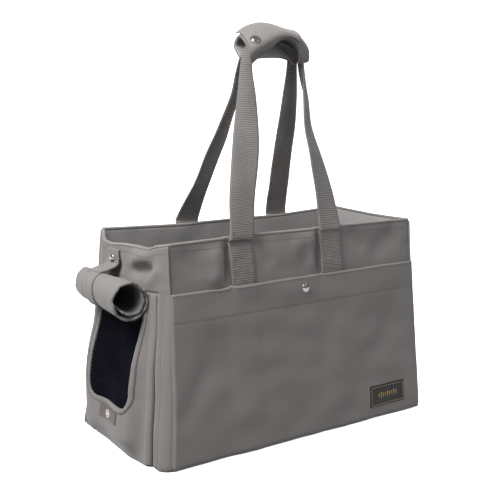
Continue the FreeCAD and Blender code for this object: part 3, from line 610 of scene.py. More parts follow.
EMBLEM = plain_material("emblem", (0.62, 0.52, 0.47), 0.3, metallic=0.6, grain=900.0)
BOARD = plain_material("board", (0.03, 0.03, 0.03), 0.7, grain=300.0)


# ---- the body's shell --------------------------------------------------------------------------------

def side_lines():
    """Heights of the shell's rows, from the base's rounded edge to the rim."""
    low = np.array([0.4, 1.2, 2.6, 5.0, 9.0]) * MM
    to_seam = np.linspace(14 * MM, SEAM_HEIGHT - 1.0 * MM, 40)
    to_rim = np.linspace(SEAM_HEIGHT + 1.0 * MM, RIM_HEIGHT, 15)
    return np.concatenate([low, to_seam, to_rim])


HEIGHTS = side_lines()
ROWS = len(HEIGHTS)


def end_columns(z, gusset=7, door=24):
    """Places along an end at one height: a gusset, the door's width and the other gusset."""
    corner = half_depth(z)
    zipped = zip_offset(z) + 0.6 * MM
    front = np.linspace(-corner, -zipped, gusset, endpoint=False)
    middle = np.linspace(-zipped, zipped, door, endpoint=False)
    rear = np.linspace(zipped, corner, gusset + 1)
    return np.concatenate([front, middle, rear])


def inside_window(y, z, grow):
    """True where a point lies in the window's rounded outline, grown by an allowance."""
    r = WINDOW_RADIUS + grow
    dy = np.abs(y - WINDOW_MIDDLE) - (WINDOW_HALF + grow - r)
    dz = np.abs(z - (WINDOW_LOW + WINDOW_HIGH) / 2) - ((WINDOW_HIGH - WINDOW_LOW) / 2 + grow - r)
    corner = np.hypot(np.maximum(dy, 0), np.maximum(dz, 0)) <= r
    return corner & (dy <= r) & (dz <= r)


def build_shell():
    """One loft all the way round: front, right end, rear and left end, with the door and window left open."""
    long_columns = 84
    end_count = len(end_columns(0.1))
    rows = []
    for z in HEIGHTS:
        ends = end_columns(z)
        left = skin_raw("left", ends[::-1], z)
        right = skin_raw("right", ends, z)
        front_x = np.linspace(left[-1, 0], right[0, 0], long_columns + 1)[1:-1]
        rear_x = np.linspace(right[-1, 0], left[0, 0], long_columns + 1)[1:-1]
        front = skin_raw("front", front_x, z)
        rear = skin_raw("rear", rear_x, z)
        rows.append(np.concatenate([front, right, rear, left]))
    points = np.array(rows)
    cols = points.shape[1]
    skip = np.zeros((ROWS - 1, cols), bool)
    first_right = long_columns - 1
    first_left = first_right + end_count + long_columns - 1
    middles = (points[:-1] + points[1:]) / 2
    for r in range(ROWS - 1):
        below_seam = HEIGHTS[r + 1] < SEAM_HEIGHT
        for k in range(end_count - 1):
            if below_seam and 7 <= k < end_count - 8:
                skip[r, first_left + k] = True
            c = first_right + k
            centre = (middles[r, c] + middles[r, c + 1]) / 2
            if inside_window(centre[1], centre[2], 3 * MM):
                skip[r, c] = True
    shell = grid_piece("bag_shell", points, [CANVAS, LINING], wrap=True, skip=skip)
    clean_loose(shell)
    outward_from_axis(shell)
    thicken(shell, WALL, -1.0, inner_slot=1)
    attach(shell, "root")
    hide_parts("front_panel", "rear_panel", "front_lining", "rear_lining", "left_collar",
                "left_collar_lining", "right_collar", "right_collar_lining", "left_front_gusset",
                "left_rear_gusset", "right_end_panel")
    return shell


def clean_loose(thing):
    """Removes points that no face uses."""
    mesh = bmesh.new()
    mesh.from_mesh(thing.data)
    bmesh.ops.delete(mesh, geom=[v for v in mesh.verts if not v.link_faces], context="VERTS")
    mesh.to_mesh(thing.data)
    mesh.free()


def outward_from_axis(thing, centre=(0, 0, 0.14)):
    """Turns every face of an open sheet to look away from the bag's middle."""
    mesh = bmesh.new()
    mesh.from_mesh(thing.data)
    middle = Vector(centre)
    mesh.normal_update()
    score = sum((f.calc_center_median() - middle).dot(f.normal) * f.calc_area() for f in mesh.faces)
    if score < 0:
        bmesh.ops.reverse_faces(mesh, faces=mesh.faces)
    mesh.to_mesh(thing.data)
    mesh.free()


def plan_ring(z, long_columns=60, end_columns_count=24):
    """The bag's outline at a height, as a closed ring."""
    hd = half_depth(z)
    left = skin_raw("left", np.linspace(hd, -hd, end_columns_count), z)
    right = skin_raw("right", np.linspace(-hd, hd, end_columns_count), z)
    front = skin_raw("front", np.linspace(left[-1, 0], right[0, 0], long_columns)[1:-1], z)
    rear = skin_raw("rear", np.linspace(right[-1, 0], left[0, 0], long_columns)[1:-1], z)
    return np.concatenate([front, right, rear, left])


def build_base():
    """The flat base, a closed slab that meets the walls' rounded foot."""
    ring = plan_ring(0.8 * MM)
    middle = ring.mean(0)
    loops = []
    for share, height in ((0.0, 3.4), (0.7, 3.4), (0.972, 3.2), (0.985, 1.6), (0.975, 0.35), (0.95, 0.0),
                          (0.5, 0.0), (0.0, 0.0)):
        loop = middle + (ring - middle) * max(share, 0.002)
        loop[:, 2] = height * MM
        loops.append(loop)
    base = grid_piece("base_cloth", np.array(loops), CANVAS, wrap=True)
    cap_ends(base, len(ring), len(loops))
    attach(base, "root")
    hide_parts("base_panel")


def cap_ends(thing, cols, rows):
    mesh = bmesh.new()
    mesh.from_mesh(thing.data)
    mesh.verts.ensure_lookup_table()
    mesh.faces.new([mesh.verts[i] for i in range(cols)])
    mesh.faces.new([mesh.verts[(rows - 1) * cols + i] for i in reversed(range(cols))])
    bmesh.ops.recalc_face_normals(mesh, faces=mesh.faces)
    mesh.to_mesh(thing.data)
    mesh.free()


def build_binding():
    """The rolled hem that caps the rim all the way round."""
    ring = plan_ring(RIM_HEIGHT, 110, 40)
    inward = ring.copy()
    inward[:, :2] *= (1 - 1.6 * MM / np.maximum(np.abs(ring[:, :2]), 0.02))
    line = inward
    n = len(line)
    ways = np.roll(line, -1, 0) - np.roll(line, 1, 0)
    line[:, 2] += 0.4 * MM
    out = np.cross(ways, [0, 0, 1.0])
    out = out / np.linalg.norm(out, axis=1, keepdims=True)
    turn = np.linspace(0, 2 * math.pi, 12, endpoint=False)
    wide, high = 2.6 * MM, 2.3 * MM
    shape = np.stack([np.cos(turn) * wide, np.sin(turn) * high], -1)
    points = line[:, None, :] + shape[None, :, :1] * out[:, None, :] + shape[None, :, 1:] * np.array([0, 0, 1.0])
    faces = grid_faces(n, 12, wrap=True)
    faces += [((n - 1) * 12 + c, (n - 1) * 12 + (c + 1) % 12, (c + 1) % 12, c) for c in range(12)]
    binding = outward(make("mouth_hem", points.reshape(-1, 3), faces, CANVAS_EDGE, lengths_uv(points)))
    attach(binding, "root")
    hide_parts("mouth_binding")
    for side, reach in (("front", 0.2150), ("rear", 0.2150), ("left", 0.076), ("right", 0.076)):
        s = np.linspace(-reach, reach, 120)
        row = wall_stitches(f"hem_stitches_{side}", side, s, RIM_HEIGHT - 9 * MM, 0.1 * MM, THREAD_DARK)
        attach(row, "root")


def build_corner_seams():
    """The turned seam that stands up along each vertical corner."""
    z = np.linspace(4 * MM, RIM_HEIGHT - 1 * MM, 90)
    for end in ("left", "right"):
        for wall, sign in (("front", -1), ("rear", 1)):
            line = skin_raw(end, sign * half_depth(z), z)
            out = np.array([(-1 if end == "left" else 1) * 0.7, sign * 0.7, 0])
            line = line + out * 0.5 * MM
            line[:, 0] += 0.35 * MM * ripple(z, z * 0, 0.05, 31 + sign)
            ridge = sweep(f"corner_seam_{wall}_{end}", line, (1.1 * MM, 1.5 * MM), CANVAS, 8,
                          normals=np.tile(out, (len(z), 1)))
            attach(ridge, "root")


# ---- the pocket ------------------------------------------------------------------------------------------

def pocket_stand(x, z):
    """How far the pocket's cloth stands off the front wall."""
    mouth = smooth((z - 0.13) / (POCKET_MOUTH - 0.13))
    edge = np.clip(1 - (np.abs(x) / half_length(z)) ** 8, 0, 1)
    gape = (2.6 + 0.9 * ripple(x, x * 0, 0.11, 41)) * MM * mouth * edge
    straps = sum(np.exp(-((x - strap) / 0.021) ** 6) for strap in FRONT_STRAPS) * 0.9 * MM
    return 1.2 * MM + gape + straps * edge + 0.4 * MM * ripple(x, z, 0.07, 43) * edge


def build_pocket():
    z = np.concatenate([np.linspace(3 * MM, POCKET_MOUTH - POCKET_HEM - 4 * MM, 44),
                        POCKET_MOUTH - POCKET_HEM + np.array([-1.6, -0.6, 0.0, 0.6, 1.6]) * MM,
                        np.linspace(POCKET_MOUTH - POCKET_HEM + 5 * MM, POCKET_MOUTH, 10)])
    groove = 0.35 * MM * np.exp(-((z - POCKET_MOUTH + POCKET_HEM) / (0.9 * MM)) ** 2)
    hem_rise = 0.25 * MM * smooth((z - POCKET_MOUTH + POCKET_HEM + 0.5 * MM) / (1.0 * MM))
    rows = []
    for i, height in enumerate(z):
        left = skin_raw("left", -half_depth(height), height)[0]
        right = skin_raw("right", -half_depth(height), height)[0]
        x = np.linspace(left - 0.6 * MM, right + 0.9 * MM, 110)
        out = pocket_stand(x, height) + 1.8 * MM - groove[i] + hem_rise[i]
        rows.append(skin("front", x, np.full_like(x, height), out))
    pocket = grid_piece("pocket_cloth", np.array(rows), CANVAS)
    outward_from_axis(pocket)
    thicken(pocket, 1.9 * MM, -1.0)
    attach(pocket, "root")
    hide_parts("front_pocket")
    x = np.linspace(-0.216, 0.216, 200)
    height = POCKET_MOUTH - POCKET_HEM
    row = wall_stitches("pocket_hem_stitches", "front", x, height, pocket_stand(x, height) + 1.6 * MM, THREAD)
    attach(row, "root")
    height = POCKET_MOUTH - 2.6 * MM
    row = wall_stitches("pocket_mouth_stitches", "front", x, height, pocket_stand(x, height) + 2.45 * MM,
                        THREAD_DARK)
    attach(row, "root")


def snap_cap(name, centre, normal, radius, body, node, material=None, height=2.6 * MM):
    """A spun metal cap with a rolled rim and a shallow dome, on a dark seat."""
    profile = [(0.0, 1.0), (0.35, 0.97), (0.62, 0.86), (0.82, 0.66), (0.94, 0.42), (1.0, 0.22), (1.0, 0.08),
               (0.95, 0.0), (0.8, -0.02), (0.0, -0.02)]
    turns = 40
    normal = Vector(normal).normalized()
    rotation = normal.to_track_quat("Z", "Y").to_matrix()
    points = []
    for r, h in profile[1:-1]:
        for k in range(turns):
            a = 2 * math.pi * k / turns
            points.append(Vector(centre) + rotation @ Vector((math.cos(a) * r * radius, math.sin(a) * r * radius,
                                                              h * height)))
    rings = len(profile) - 2
    top = len(points)
    points.append(Vector(centre) + rotation @ Vector((0, 0, height)))
    points.append(Vector(centre) + rotation @ Vector((0, 0, -0.02 * height)))
    faces = grid_faces(rings, turns, wrap=True)
    faces += [(top, c, (c + 1) % turns) for c in range(turns)]
    last = (rings - 1) * turns
    faces += [(top + 1, last + (c + 1) % turns, last + c) for c in range(turns)]
    cap = outward(make(name, points, faces, material or CHROME))
    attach(cap, body)
    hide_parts(node)
    seat = outward(disc(f"{name}_seat", centre, rotation, radius * 1.13, 0.5 * MM, SOCKET))
    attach(seat, body)
    return cap


def disc(name, centre, rotation, radius, height, material, turns=36):
    points = []
    for r, h in ((1.0, 0.0), (1.0, 0.7), (0.93, 1.0)):
        for k in range(turns):
            a = 2 * math.pi * k / turns
            points.append(Vector(centre) + rotation @ Vector((math.cos(a) * r * radius, math.sin(a) * r * radius,
                                                              h * height)))
    faces = grid_faces(3, turns, wrap=True)
    faces += [tuple(range(turns))[::-1], tuple(2 * turns + k for k in range(turns))]
    return make(name, points, faces, material)


def build_pocket_snap():
    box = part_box("pocket_snap_cap")
    x, z = (box[0].x + box[1].x) / 2, (box[0].z + box[1].z) / 2
    out = float(pocket_stand(np.array(x), np.array(z))) + 2.4 * MM
    centre = skin("front", x, z, out)
    snap_cap("pocket_snap", centre, skin_normal("front", x, z), 6.2 * MM, "root", "pocket_snap_cap")
    centre = skin("front", x, z, 0.1 * MM)
    snap_cap("pocket_stud", centre, skin_normal("front", x, z), 4.4 * MM, "root", "pocket_snap_stud",
             material=SOCKET, height=0.8 * MM)


def build_label():
    """The woven label: a black tape with a gold border and a plain gold bar pattern."""
    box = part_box("woven_label")
    x0, x1, z0, z1 = box[0].x, box[1].x, box[0].z, box[1].z
    x = np.linspace(x0, x1, 28)
    z = np.linspace(z0, z1, 14)
    grid_x, grid_z = np.meshgrid(x, z)
    edge = np.minimum.reduce([grid_x - x0, x1 - grid_x, grid_z - z0, z1 - grid_z])
    out = pocket_stand(grid_x, grid_z) + 1.9 * MM + 0.9 * MM * smooth(edge / (2.0 * MM)) ** 0.5
    label = grid_piece("label_tape", skin("front", grid_x, grid_z, out), LABEL)
    outward_from_axis(label)
    thicken(label, 0.9 * MM, -1.0)
    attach(label, "root")
    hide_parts("woven_label")

    def line(points):
        px, pz = np.array(points).T
        return skin("front", px, pz, pocket_stand(px, pz) + 2.85 * MM)
    inset = 3.2 * MM
    frame_line = [(x0 + inset, z0 + inset), (x1 - inset, z0 + inset), (x1 - inset, z1 - inset),
                  (x0 + inset, z1 - inset), (x0 + inset, z0 + inset)]
    dense = []
    for a, b in zip(frame_line[:-1], frame_line[1:]):
        dense += [tuple(np.array(a) + (np.array(b) - np.array(a)) * t) for t in np.linspace(0, 1, 12)[:-1]]
    parts = [sweep("gold", line(dense), (0.28 * MM, 0.2 * MM), GOLD, 6, closed=True,
                   normals=np.tile([0, -1.0, 0.1], (len(dense), 1)))]
    middle = (z0 + z1) / 2
    for k in range(9):
        px = x0 + 17 * MM + k * 4.7 * MM
        tall = (4.6 if k % 3 == 1 else 2.8) * MM
        bar = [(px, middle - tall), (px, middle), (px, middle + tall)]
        parts.append(sweep("gold", line(bar), (0.8 * MM, 0.25 * MM), GOLD, 6,
                           normals=np.tile([0, -1.0, 0.1], (3, 1))))
    gold = join("label_gold_yarn", parts)
    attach(gold, "root")


# ---- the left end: door, window, zips, tag ----------------------------------------------------------------


def build_door():
    """The drop-down door panel with its window opening."""
    z = np.concatenate([np.linspace(3 * MM, 12 * MM, 5), np.linspace(16 * MM, SEAM_HEIGHT - 1.6 * MM, 54)])
    rows = []
    for height in z:
        reach = zip_offset(height) - 0.6 * MM
        y = np.linspace(-reach, reach, 44)
        rows.append(skin_raw("left", y, height))
    points = np.array(rows)
    middles = (points[:-1, :-1] + points[1:, 1:]) / 2
    skip = inside_window(middles[..., 1], middles[..., 2], 3 * MM)
    door = grid_piece("door_cloth", points, [CANVAS, LINING], skip=skip)
    clean_loose(door)
    outward_from_axis(door)
    thicken(door, WALL, -1.0, inner_slot=1)
    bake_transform(door)
    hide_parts("left_door_panel")


def window_line(grow, count=160):
    """The window's rounded outline as (y, z) points, grown by an allowance."""
    r = WINDOW_RADIUS + grow
    y0, y1 = WINDOW_MIDDLE - WINDOW_HALF - grow + r, WINDOW_MIDDLE + WINDOW_HALF + grow - r
    z0, z1 = WINDOW_LOW - grow + r, WINDOW_HIGH + grow - r
    points = []
    for cy, cz, start in ((y1, z0, -90), (y1, z1, 0), (y0, z1, 90), (y0, z0, 180)):
        for a in np.radians(np.linspace(start, start + 90, 9)):
            points.append((cy + r * math.cos(a), cz + r * math.sin(a)))
    points = np.array(points)
    closed = np.vstack([points, points[:1]])
    lengths = np.concatenate([[0], np.cumsum(np.linalg.norm(np.diff(closed, axis=0), axis=1))])
    places = np.linspace(0, lengths[-1], count, endpoint=False)
    return np.stack([np.interp(places, lengths, closed[:, k]) for k in range(2)], -1)


def build_window(side, body):
    """The mesh in an end, with its welt, its net and its edge stitching."""
    profile = [(0.2, -4.4), (0.0, -1.5), (0.3, 0.8), (1.6, 2.0), (4.2, 2.3), (6.4, 1.7), (7.4, 0.2), (7.2, -1.0),
               (7.2, -4.6), (4.0, -5.0)]
    rows = []
    for grow, out in profile:
        line = window_line(grow * MM)
        forward = smooth((WINDOW_MIDDLE + 0.2 * WINDOW_HALF - line[:, 0]) / WINDOW_HALF)
        raised = 0.25 + 0.95 * forward
        rise = np.where(out > 0, out * raised, out)
        rows.append(skin(side, line[:, 0], line[:, 1], rise * MM))
    points = np.array(rows).transpose(1, 0, 2)
    n, m = points.shape[:2]
    faces = grid_faces(n, m, wrap=True)
    faces += [((n - 1) * m + c, (n - 1) * m + (c + 1) % m, (c + 1) % m, c) for c in range(m)]
    welt = outward(make(f"{side}_welt_cloth", points.reshape(-1, 3), faces, CANVAS, lengths_uv(points)))
    surf = welt.modifiers.new("smooth", "SUBSURF")
    surf.levels = 1
    surf.render_levels = 1
    settle(welt)
    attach(welt, body)
    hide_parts(f"{side}_window_welt")
    line = window_line(5.2 * MM, 260)
    row = stitches(f"{side}_welt_stitches", skin(side, line[:, 0], line[:, 1], 1.2 * MM),
                   skin_normal(side, line[:, 0], line[:, 1]), THREAD_DARK, pitch=3.6 * MM, long=2.4 * MM)
    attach(row, body)

    step = 3 * MM
    y = np.arange(WINDOW_MIDDLE - WINDOW_HALF - 4 * MM, WINDOW_MIDDLE + WINDOW_HALF + 4 * MM, step)
    z = np.arange(WINDOW_LOW - 4 * MM, WINDOW_HIGH + 4 * MM, step)
    grid_y, grid_z = np.meshgrid(y, z)
    inner = skin(side, grid_y, grid_z, -2.6 * MM - sagging(grid_y, grid_z))
    centre_y = (grid_y[:-1, :-1] + grid_y[1:, 1:]) / 2
    centre_z = (grid_z[:-1, :-1] + grid_z[1:, 1:]) / 2
    skip = ~inside_window(centre_y, centre_z, 3.2 * MM)
    back = grid_piece(f"{side}_mesh_back", inner, MESH_BACK, skip=skip)
    clean_loose(back)
    outward_from_axis(back)
    thicken(back, 0.8 * MM, -1.0)
    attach(back, body)
    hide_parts(f"{side}_window_mesh")
    net = build_net(side)
    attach(net, body)


def sagging(y, z):
    """The mesh is slack: it dishes in a little and ripples across."""
    u = (y - WINDOW_MIDDLE) / WINDOW_HALF
    v = (z - (WINDOW_LOW + WINDOW_HIGH) / 2) / ((WINDOW_HIGH - WINDOW_LOW) / 2)
    bowl = np.clip(1 - u * u, 0, 1) * np.clip(1 - v * v, 0, 1)
    return bowl * (1.6 * MM + 0.8 * MM * ripple(y, z, 0.05, 61))


def build_net(side):
    """Open honeycomb knit in front of the backing: every cell is a ring of yarn."""
    cell = 3.6 * MM
    rise = cell * 0.78
    verts, seen = [], {}

    def corner(y, z):
        key = (round(y / (0.2 * MM)), round(z / (0.2 * MM)))
        if key not in seen:
            seen[key] = len(verts)
            verts.append((y, z))
        return seen[key]
    rows = int((WINDOW_HIGH - WINDOW_LOW + 2 * MM) / rise) + 2
    cols = int((2 * WINDOW_HALF + 2 * MM) / cell) + 2
    faces = []
    for r in range(rows):
        for c in range(cols):
            y = WINDOW_MIDDLE - WINDOW_HALF - 2 * MM + (c + 0.5 * (r % 2)) * cell
            z = WINDOW_LOW - 2 * MM + r * rise
            if not inside_window(y, z, 0.5 * MM):
                continue
            hexagon = [corner(y + dy * cell, z + dz * rise) for dy, dz in
                       ((0, 2 / 3), (0.5, 1 / 3), (0.5, -1 / 3), (0, -2 / 3), (-0.5, -1 / 3), (-0.5, 1 / 3))]
            if len(set(hexagon)) == 6:
                faces.append(hexagon)
    flat = np.array(verts)
    points = skin(side, flat[:, 0], flat[:, 1], -1.5 * MM - sagging(flat[:, 0], flat[:, 1]))
    net = make(f"{side}_mesh_net", points, faces, MESH_YARN)
    wire = net.modifiers.new("yarn", "WIREFRAME")
    wire.thickness = 0.95 * MM
    wire.use_even_offset = False
    wire.use_boundary = True
    return settle(net)


def true_height(side, s, z):
    """The height before the sag of the place that ends up at a height."""
    raw = np.asarray(z, float)
    for _ in range(8):
        raw = raw + z - skin_raw(side, s, raw)[..., 2]
    return raw


def ribbon_on_wall(name, side, s, z, width, stand, crown, material, columns=9, thickness=1.4 * MM):
    """A strip sewn along a line on a wall, crowned across its width."""
    across = np.linspace(-0.5, 0.5, columns)
    grid_s = s[:, None] + across[None, :] * width
    grid_z = np.repeat(z[:, None], columns, 1)
    out = stand + crown * np.sqrt(np.clip(1 - (2 * across) ** 2, 0, 1))[None, :]
    strip = grid_piece(name, skin(side, grid_s, grid_z, out), material)
    outward_from_axis(strip)
    return thicken(strip, thickness, -1.0, even=False)


def build_zips():
    """Each zip: a crowned placket on the door, a lip on the gusset, the coil between, stitching and slider."""
    z = np.linspace(5 * MM, SEAM_HEIGHT - 3 * MM, 90)
    for name, sign in (("front", -1), ("rear", 1)):
        line = zip_offset(z)
        placket = ribbon_on_wall(f"{name}_placket", "left", sign * (line - 6.6 * MM), z, 11.5 * MM, -0.6 * MM,
                                 2.6 * MM, CANVAS)
        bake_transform(placket)
        lip = ribbon_on_wall(f"{name}_zip_lip", "left", sign * (line + 4.4 * MM), z, 7.4 * MM, -0.8 * MM,
                             1.9 * MM, CANVAS)
        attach(lip, "root")
        for node, offset in (("fixed", 4.5), ("door", -4.5)):
            tape = ribbon_on_wall(f"{name}_zip_{node}_cloth", "left", sign * (line + offset * MM), z, 8 * MM,
                                  -4.2 * MM, 0.1 * MM, ZIP_CLOTH, thickness=0.8 * MM)
            if node == "door":
                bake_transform(tape)
            else:
                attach(tape, "root")
            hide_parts(f"{name}_zip_{node}_tape")
        coil = build_coil(f"{name}_zip_coil", sign)
        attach(coil, "root")
        row = wall_stitches(f"{name}_zip_stitches", "left", sign * (line + 10.5 * MM), z, 0.15 * MM, THREAD_DARK)
        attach(row, "root")
        build_slider(name, sign)


def build_coil(name, sign):
    """The zip's coil: a fine helix along the line where the two tapes meet."""
    pitch = 2.0 * MM
    z = np.arange(5 * MM, SEAM_HEIGHT - 4 * MM, pitch / 8)
    turn = 2 * math.pi * z / pitch
    s = sign * zip_offset(z) + np.cos(turn) * 1.3 * MM
    line = skin("left", s, z, -2.6 * MM + np.sin(turn) * 0.7 * MM)
    return sweep(name, line, 0.42 * MM, ZIP_METAL, 5, normals=np.tile([-1.0, 0, 0], (len(z), 1)))


def build_slider(name, sign):
    """The slider and its pull, on the gusset's side of the zip."""
    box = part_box(f"{name}_zip_slider")
    y, top, low = (box[0].y + box[1].y) / 2, box[1].z, box[0].z
    body_z = np.linspace(top - 10 * MM, top - 1 * MM, 9)
    widths = np.array([2.6, 3.2, 3.8, 4.2, 4.4, 4.4, 4.2, 3.8, 3.0]) * MM
    y = y - sign * 4.6 * MM
    line = skin("left", np.full_like(body_z, y), body_z, -0.6 * MM)
    body = sweep(f"{name}_slider_body", line, (widths[:, None, None] / 2, 1.3 * MM), ZIP_METAL, 12,
                 normals=np.tile([-1.0, 0, 0], (len(body_z), 1)))
    pull_z = np.linspace(low + 1 * MM, top - 8 * MM, 10)
    pull_w = np.array([1.4, 2.0, 2.2, 2.2, 2.0, 1.8, 1.6, 1.5, 1.4, 1.3]) * MM
    pull = sweep(f"{name}_pull", skin("left", np.full_like(pull_z, y), pull_z, -0.5 * MM),
                 (pull_w[:, None, None], 0.6 * MM), ZIP_METAL, 10,
                 normals=np.tile([-1.0, 0, 0], (len(pull_z), 1)))
    slider = join(f"{name}_slider", [body, pull])
    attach(slider, f"{name}_slider")
    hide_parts(f"{name}_zip_slider")


def build_tag():
    """The leatherette tag below the window, with its stitched edge and plain ring."""
    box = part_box("left_end_tag")
    y0, y1, z0, z1 = box[0].y, box[1].y, box[0].z, box[1].z
    grid_y, grid_z = np.meshgrid(np.linspace(y0, y1, 24), np.linspace(z0, z1, 10))
    edge = np.minimum.reduce([grid_y - y0, y1 - grid_y, grid_z - z0, z1 - grid_z])
    out = 0.3 * MM + 1.2 * MM * smooth(edge / (1.6 * MM)) ** 0.5
    tag = grid_piece("tag_leather", skin("left", grid_y, grid_z, out), TAG)
    outward_from_axis(tag)
    thicken(tag, 1.2 * MM, -1.0)
    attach(tag, "left_door")
    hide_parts("left_end_tag")
    inset = 1.9 * MM
    corners = [(y0 + inset, z0 + inset), (y1 - inset, z0 + inset), (y1 - inset, z1 - inset),
               (y0 + inset, z1 - inset), (y0 + inset, z0 + inset)]
    dense = np.array([np.array(a) + (np.array(b) - np.array(a)) * t
                      for a, b in zip(corners[:-1], corners[1:]) for t in np.linspace(0, 1, 12)])
    row = stitches("tag_stitches", skin("left", dense[:, 0], dense[:, 1], 1.55 * MM),
                   skin_normal("left", dense[:, 0], dense[:, 1]), THREAD, pitch=2.8 * MM, long=1.9 * MM,
                   thick=0.3 * MM)
    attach(row, "left_door")
    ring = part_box("left_end_emblem")
    cy, cz = (ring[0].y + ring[1].y) / 2, (ring[0].z + ring[1].z) / 2
    turn = np.linspace(0, 2 * math.pi, 48, endpoint=False)
    line = skin("left", cy + 4.6 * MM * np.cos(turn), cz + 4.6 * MM * np.sin(turn), 1.7 * MM)
    ring_piece = sweep("tag_ring", line, (0.8 * MM, 0.45 * MM), EMBLEM, 8, closed=True,
                       normals=np.tile([-1.0, 0, 0], (48, 1)))
    dot = outward(disc("tag_dot", skin("left", cy, cz, 1.4 * MM),
                       Vector((-1, 0, 0)).to_track_quat("Z", "Y").to_matrix(), 1.9 * MM, 0.7 * MM, EMBLEM))
    whole = join("tag_emblem", [ring_piece, dot])
    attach(whole, "left_door")
    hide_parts("left_end_emblem")


# ---- covers and tabs --------------------------------------------------------------------------------------

ROLL_NEAR, ROLL_FAR = ROLL[0].y, ROLL[1].y
ROLL_NEAR_RADIUS = (ROLL[1].z - ROLL[0].z) / 2 - 0.8 * MM
ROLL_FAR_RADIUS = ROLL_NEAR_RADIUS - 5.5 * MM
ROLL_NEAR_PLACE = np.array([ROLL[0].x + ROLL_NEAR_RADIUS, ROLL[0].z + ROLL_NEAR_RADIUS - 0.5 * MM])
ROLL_FAR_PLACE = ROLL_NEAR_PLACE + np.array([4.5, 4.5]) * MM
COVER_LENGTH = 215 * MM


def roll_share(y):
    return np.clip((y - ROLL_NEAR) / (ROLL_FAR - ROLL_NEAR), 0, 1)


def roll_radius(y):
    return ROLL_NEAR_RADIUS + (ROLL_FAR_RADIUS - ROLL_NEAR_RADIUS) * roll_share(y) ** 0.8 - 1.6 * MM


def strap_place(angle):
    """Where the wrap strap's middle lies along the roll: it has slipped aslant."""
    return 25 * MM + 10 * MM * np.cos(angle - math.radians(40))


def roll_outline(y, angle, inner=0.0):
    """A point of the rolled cloth at an angle round the roll's middle."""
    share = roll_share(y)
    radius = roll_radius(y) - inner
    radius = radius * (1 + 0.035 * np.cos(2 * angle + 0.7) + 0.012 * np.sin(3 * angle + y * 30))
    radius = radius - 1.5 * MM * np.exp(-((y - strap_place(angle)) / (13 * MM)) ** 2)
    radius = radius + 0.4 * MM * ripple(angle * 0.03, y + 0 * angle, 0.045, 71)
    pinch = 1 - 0.16 * smooth((share - 0.75) / 0.25)
    x = ROLL_NEAR_PLACE[0] + (ROLL_FAR_PLACE[0] - ROLL_NEAR_PLACE[0]) * share + radius * np.cos(angle) * pinch
    z = ROLL_NEAR_PLACE[1] + (ROLL_FAR_PLACE[1] - ROLL_NEAR_PLACE[1]) * share + radius * np.sin(angle)
    return np.stack([x, y + 0 * angle, z], -1)


def build_roll():
    """The window cover rolled up: a sheet in a loose spiral of a turn and a half."""
    ys = np.linspace(ROLL_NEAR, ROLL_FAR, 46)
    share = np.linspace(0, 1, 110)
    rows = []
    for y in ys:
        turned = share * COVER_LENGTH / (float(roll_radius(y)) - 1.0 * MM)
        angle = math.radians(32) - turned
        closing = 5.6 * MM + 12 * MM * smooth((roll_share(y) - 0.35) / 0.5)
        inner = smooth((turned - 5.5) / 1.5) * closing + smooth((turned - 8.2) / 1.0) * 1.5 * MM
        points = roll_outline(y, angle, inner)
        wave = 1.1 * MM * np.sin(angle * 7.3 + 0.5) + 0.9 * MM * np.sin(angle * 3.1) + 0.6 * MM * np.sin(angle * 15)
        near, far = np.exp(-((y - ROLL_NEAR) / 0.009) ** 2), np.exp(-((y - ROLL_FAR) / 0.012) ** 2)
        points[:, 1] += wave * (near - 0.6 * far) + 1.2 * MM * near + 2.0 * MM * far * np.sin(angle + 0.8)
        rows.append(points)
    roll = grid_piece("rolled_cover", np.array(rows), [CANVAS, ROLL_HOLLOW])
    outward_from_axis(roll, (ROLL_NEAR_PLACE[0], 0, ROLL_NEAR_PLACE[1]))
    thicken(roll, 2.8 * MM, 0.0, inner_slot=1, even=False)
    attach(roll, "left_door")
    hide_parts("left_window_cover")
    angle = np.linspace(math.radians(10), math.radians(-300), 150)
    place = ROLL_NEAR + 6.5 * MM
    middle = np.array([ROLL_NEAR_PLACE[0], place, ROLL_NEAR_PLACE[1]])
    line = roll_outline(place, angle, -1.5 * MM)
    row = stitches("roll_hem_stitches", line, line - middle, THREAD, pitch=3.6 * MM, long=2.5 * MM,
                   thick=0.32 * MM)
    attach(row, "left_door")


def build_wrap_strap():
    """The strap that goes down behind the roll, round it and up under the tab."""
    across = np.linspace(-0.5, 0.5, 9) * 23 * MM
    rows = []
    for a in np.linspace(math.radians(40), math.radians(358), 90):
        y = strap_place(a) + across
        crown = 0.4 * MM * (1 - (2 * across / (23 * MM)) ** 2)
        rows.append(roll_outline(y, np.full_like(y, a), -2.6 * MM - crown))
    strap = grid_piece("wrap_strap", np.array(rows), CANVAS)
    thicken(strap, 1.7 * MM, 0.0)
    outward(strap)
    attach(strap, "left_door")
    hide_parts("left_cover_wrap_strap")


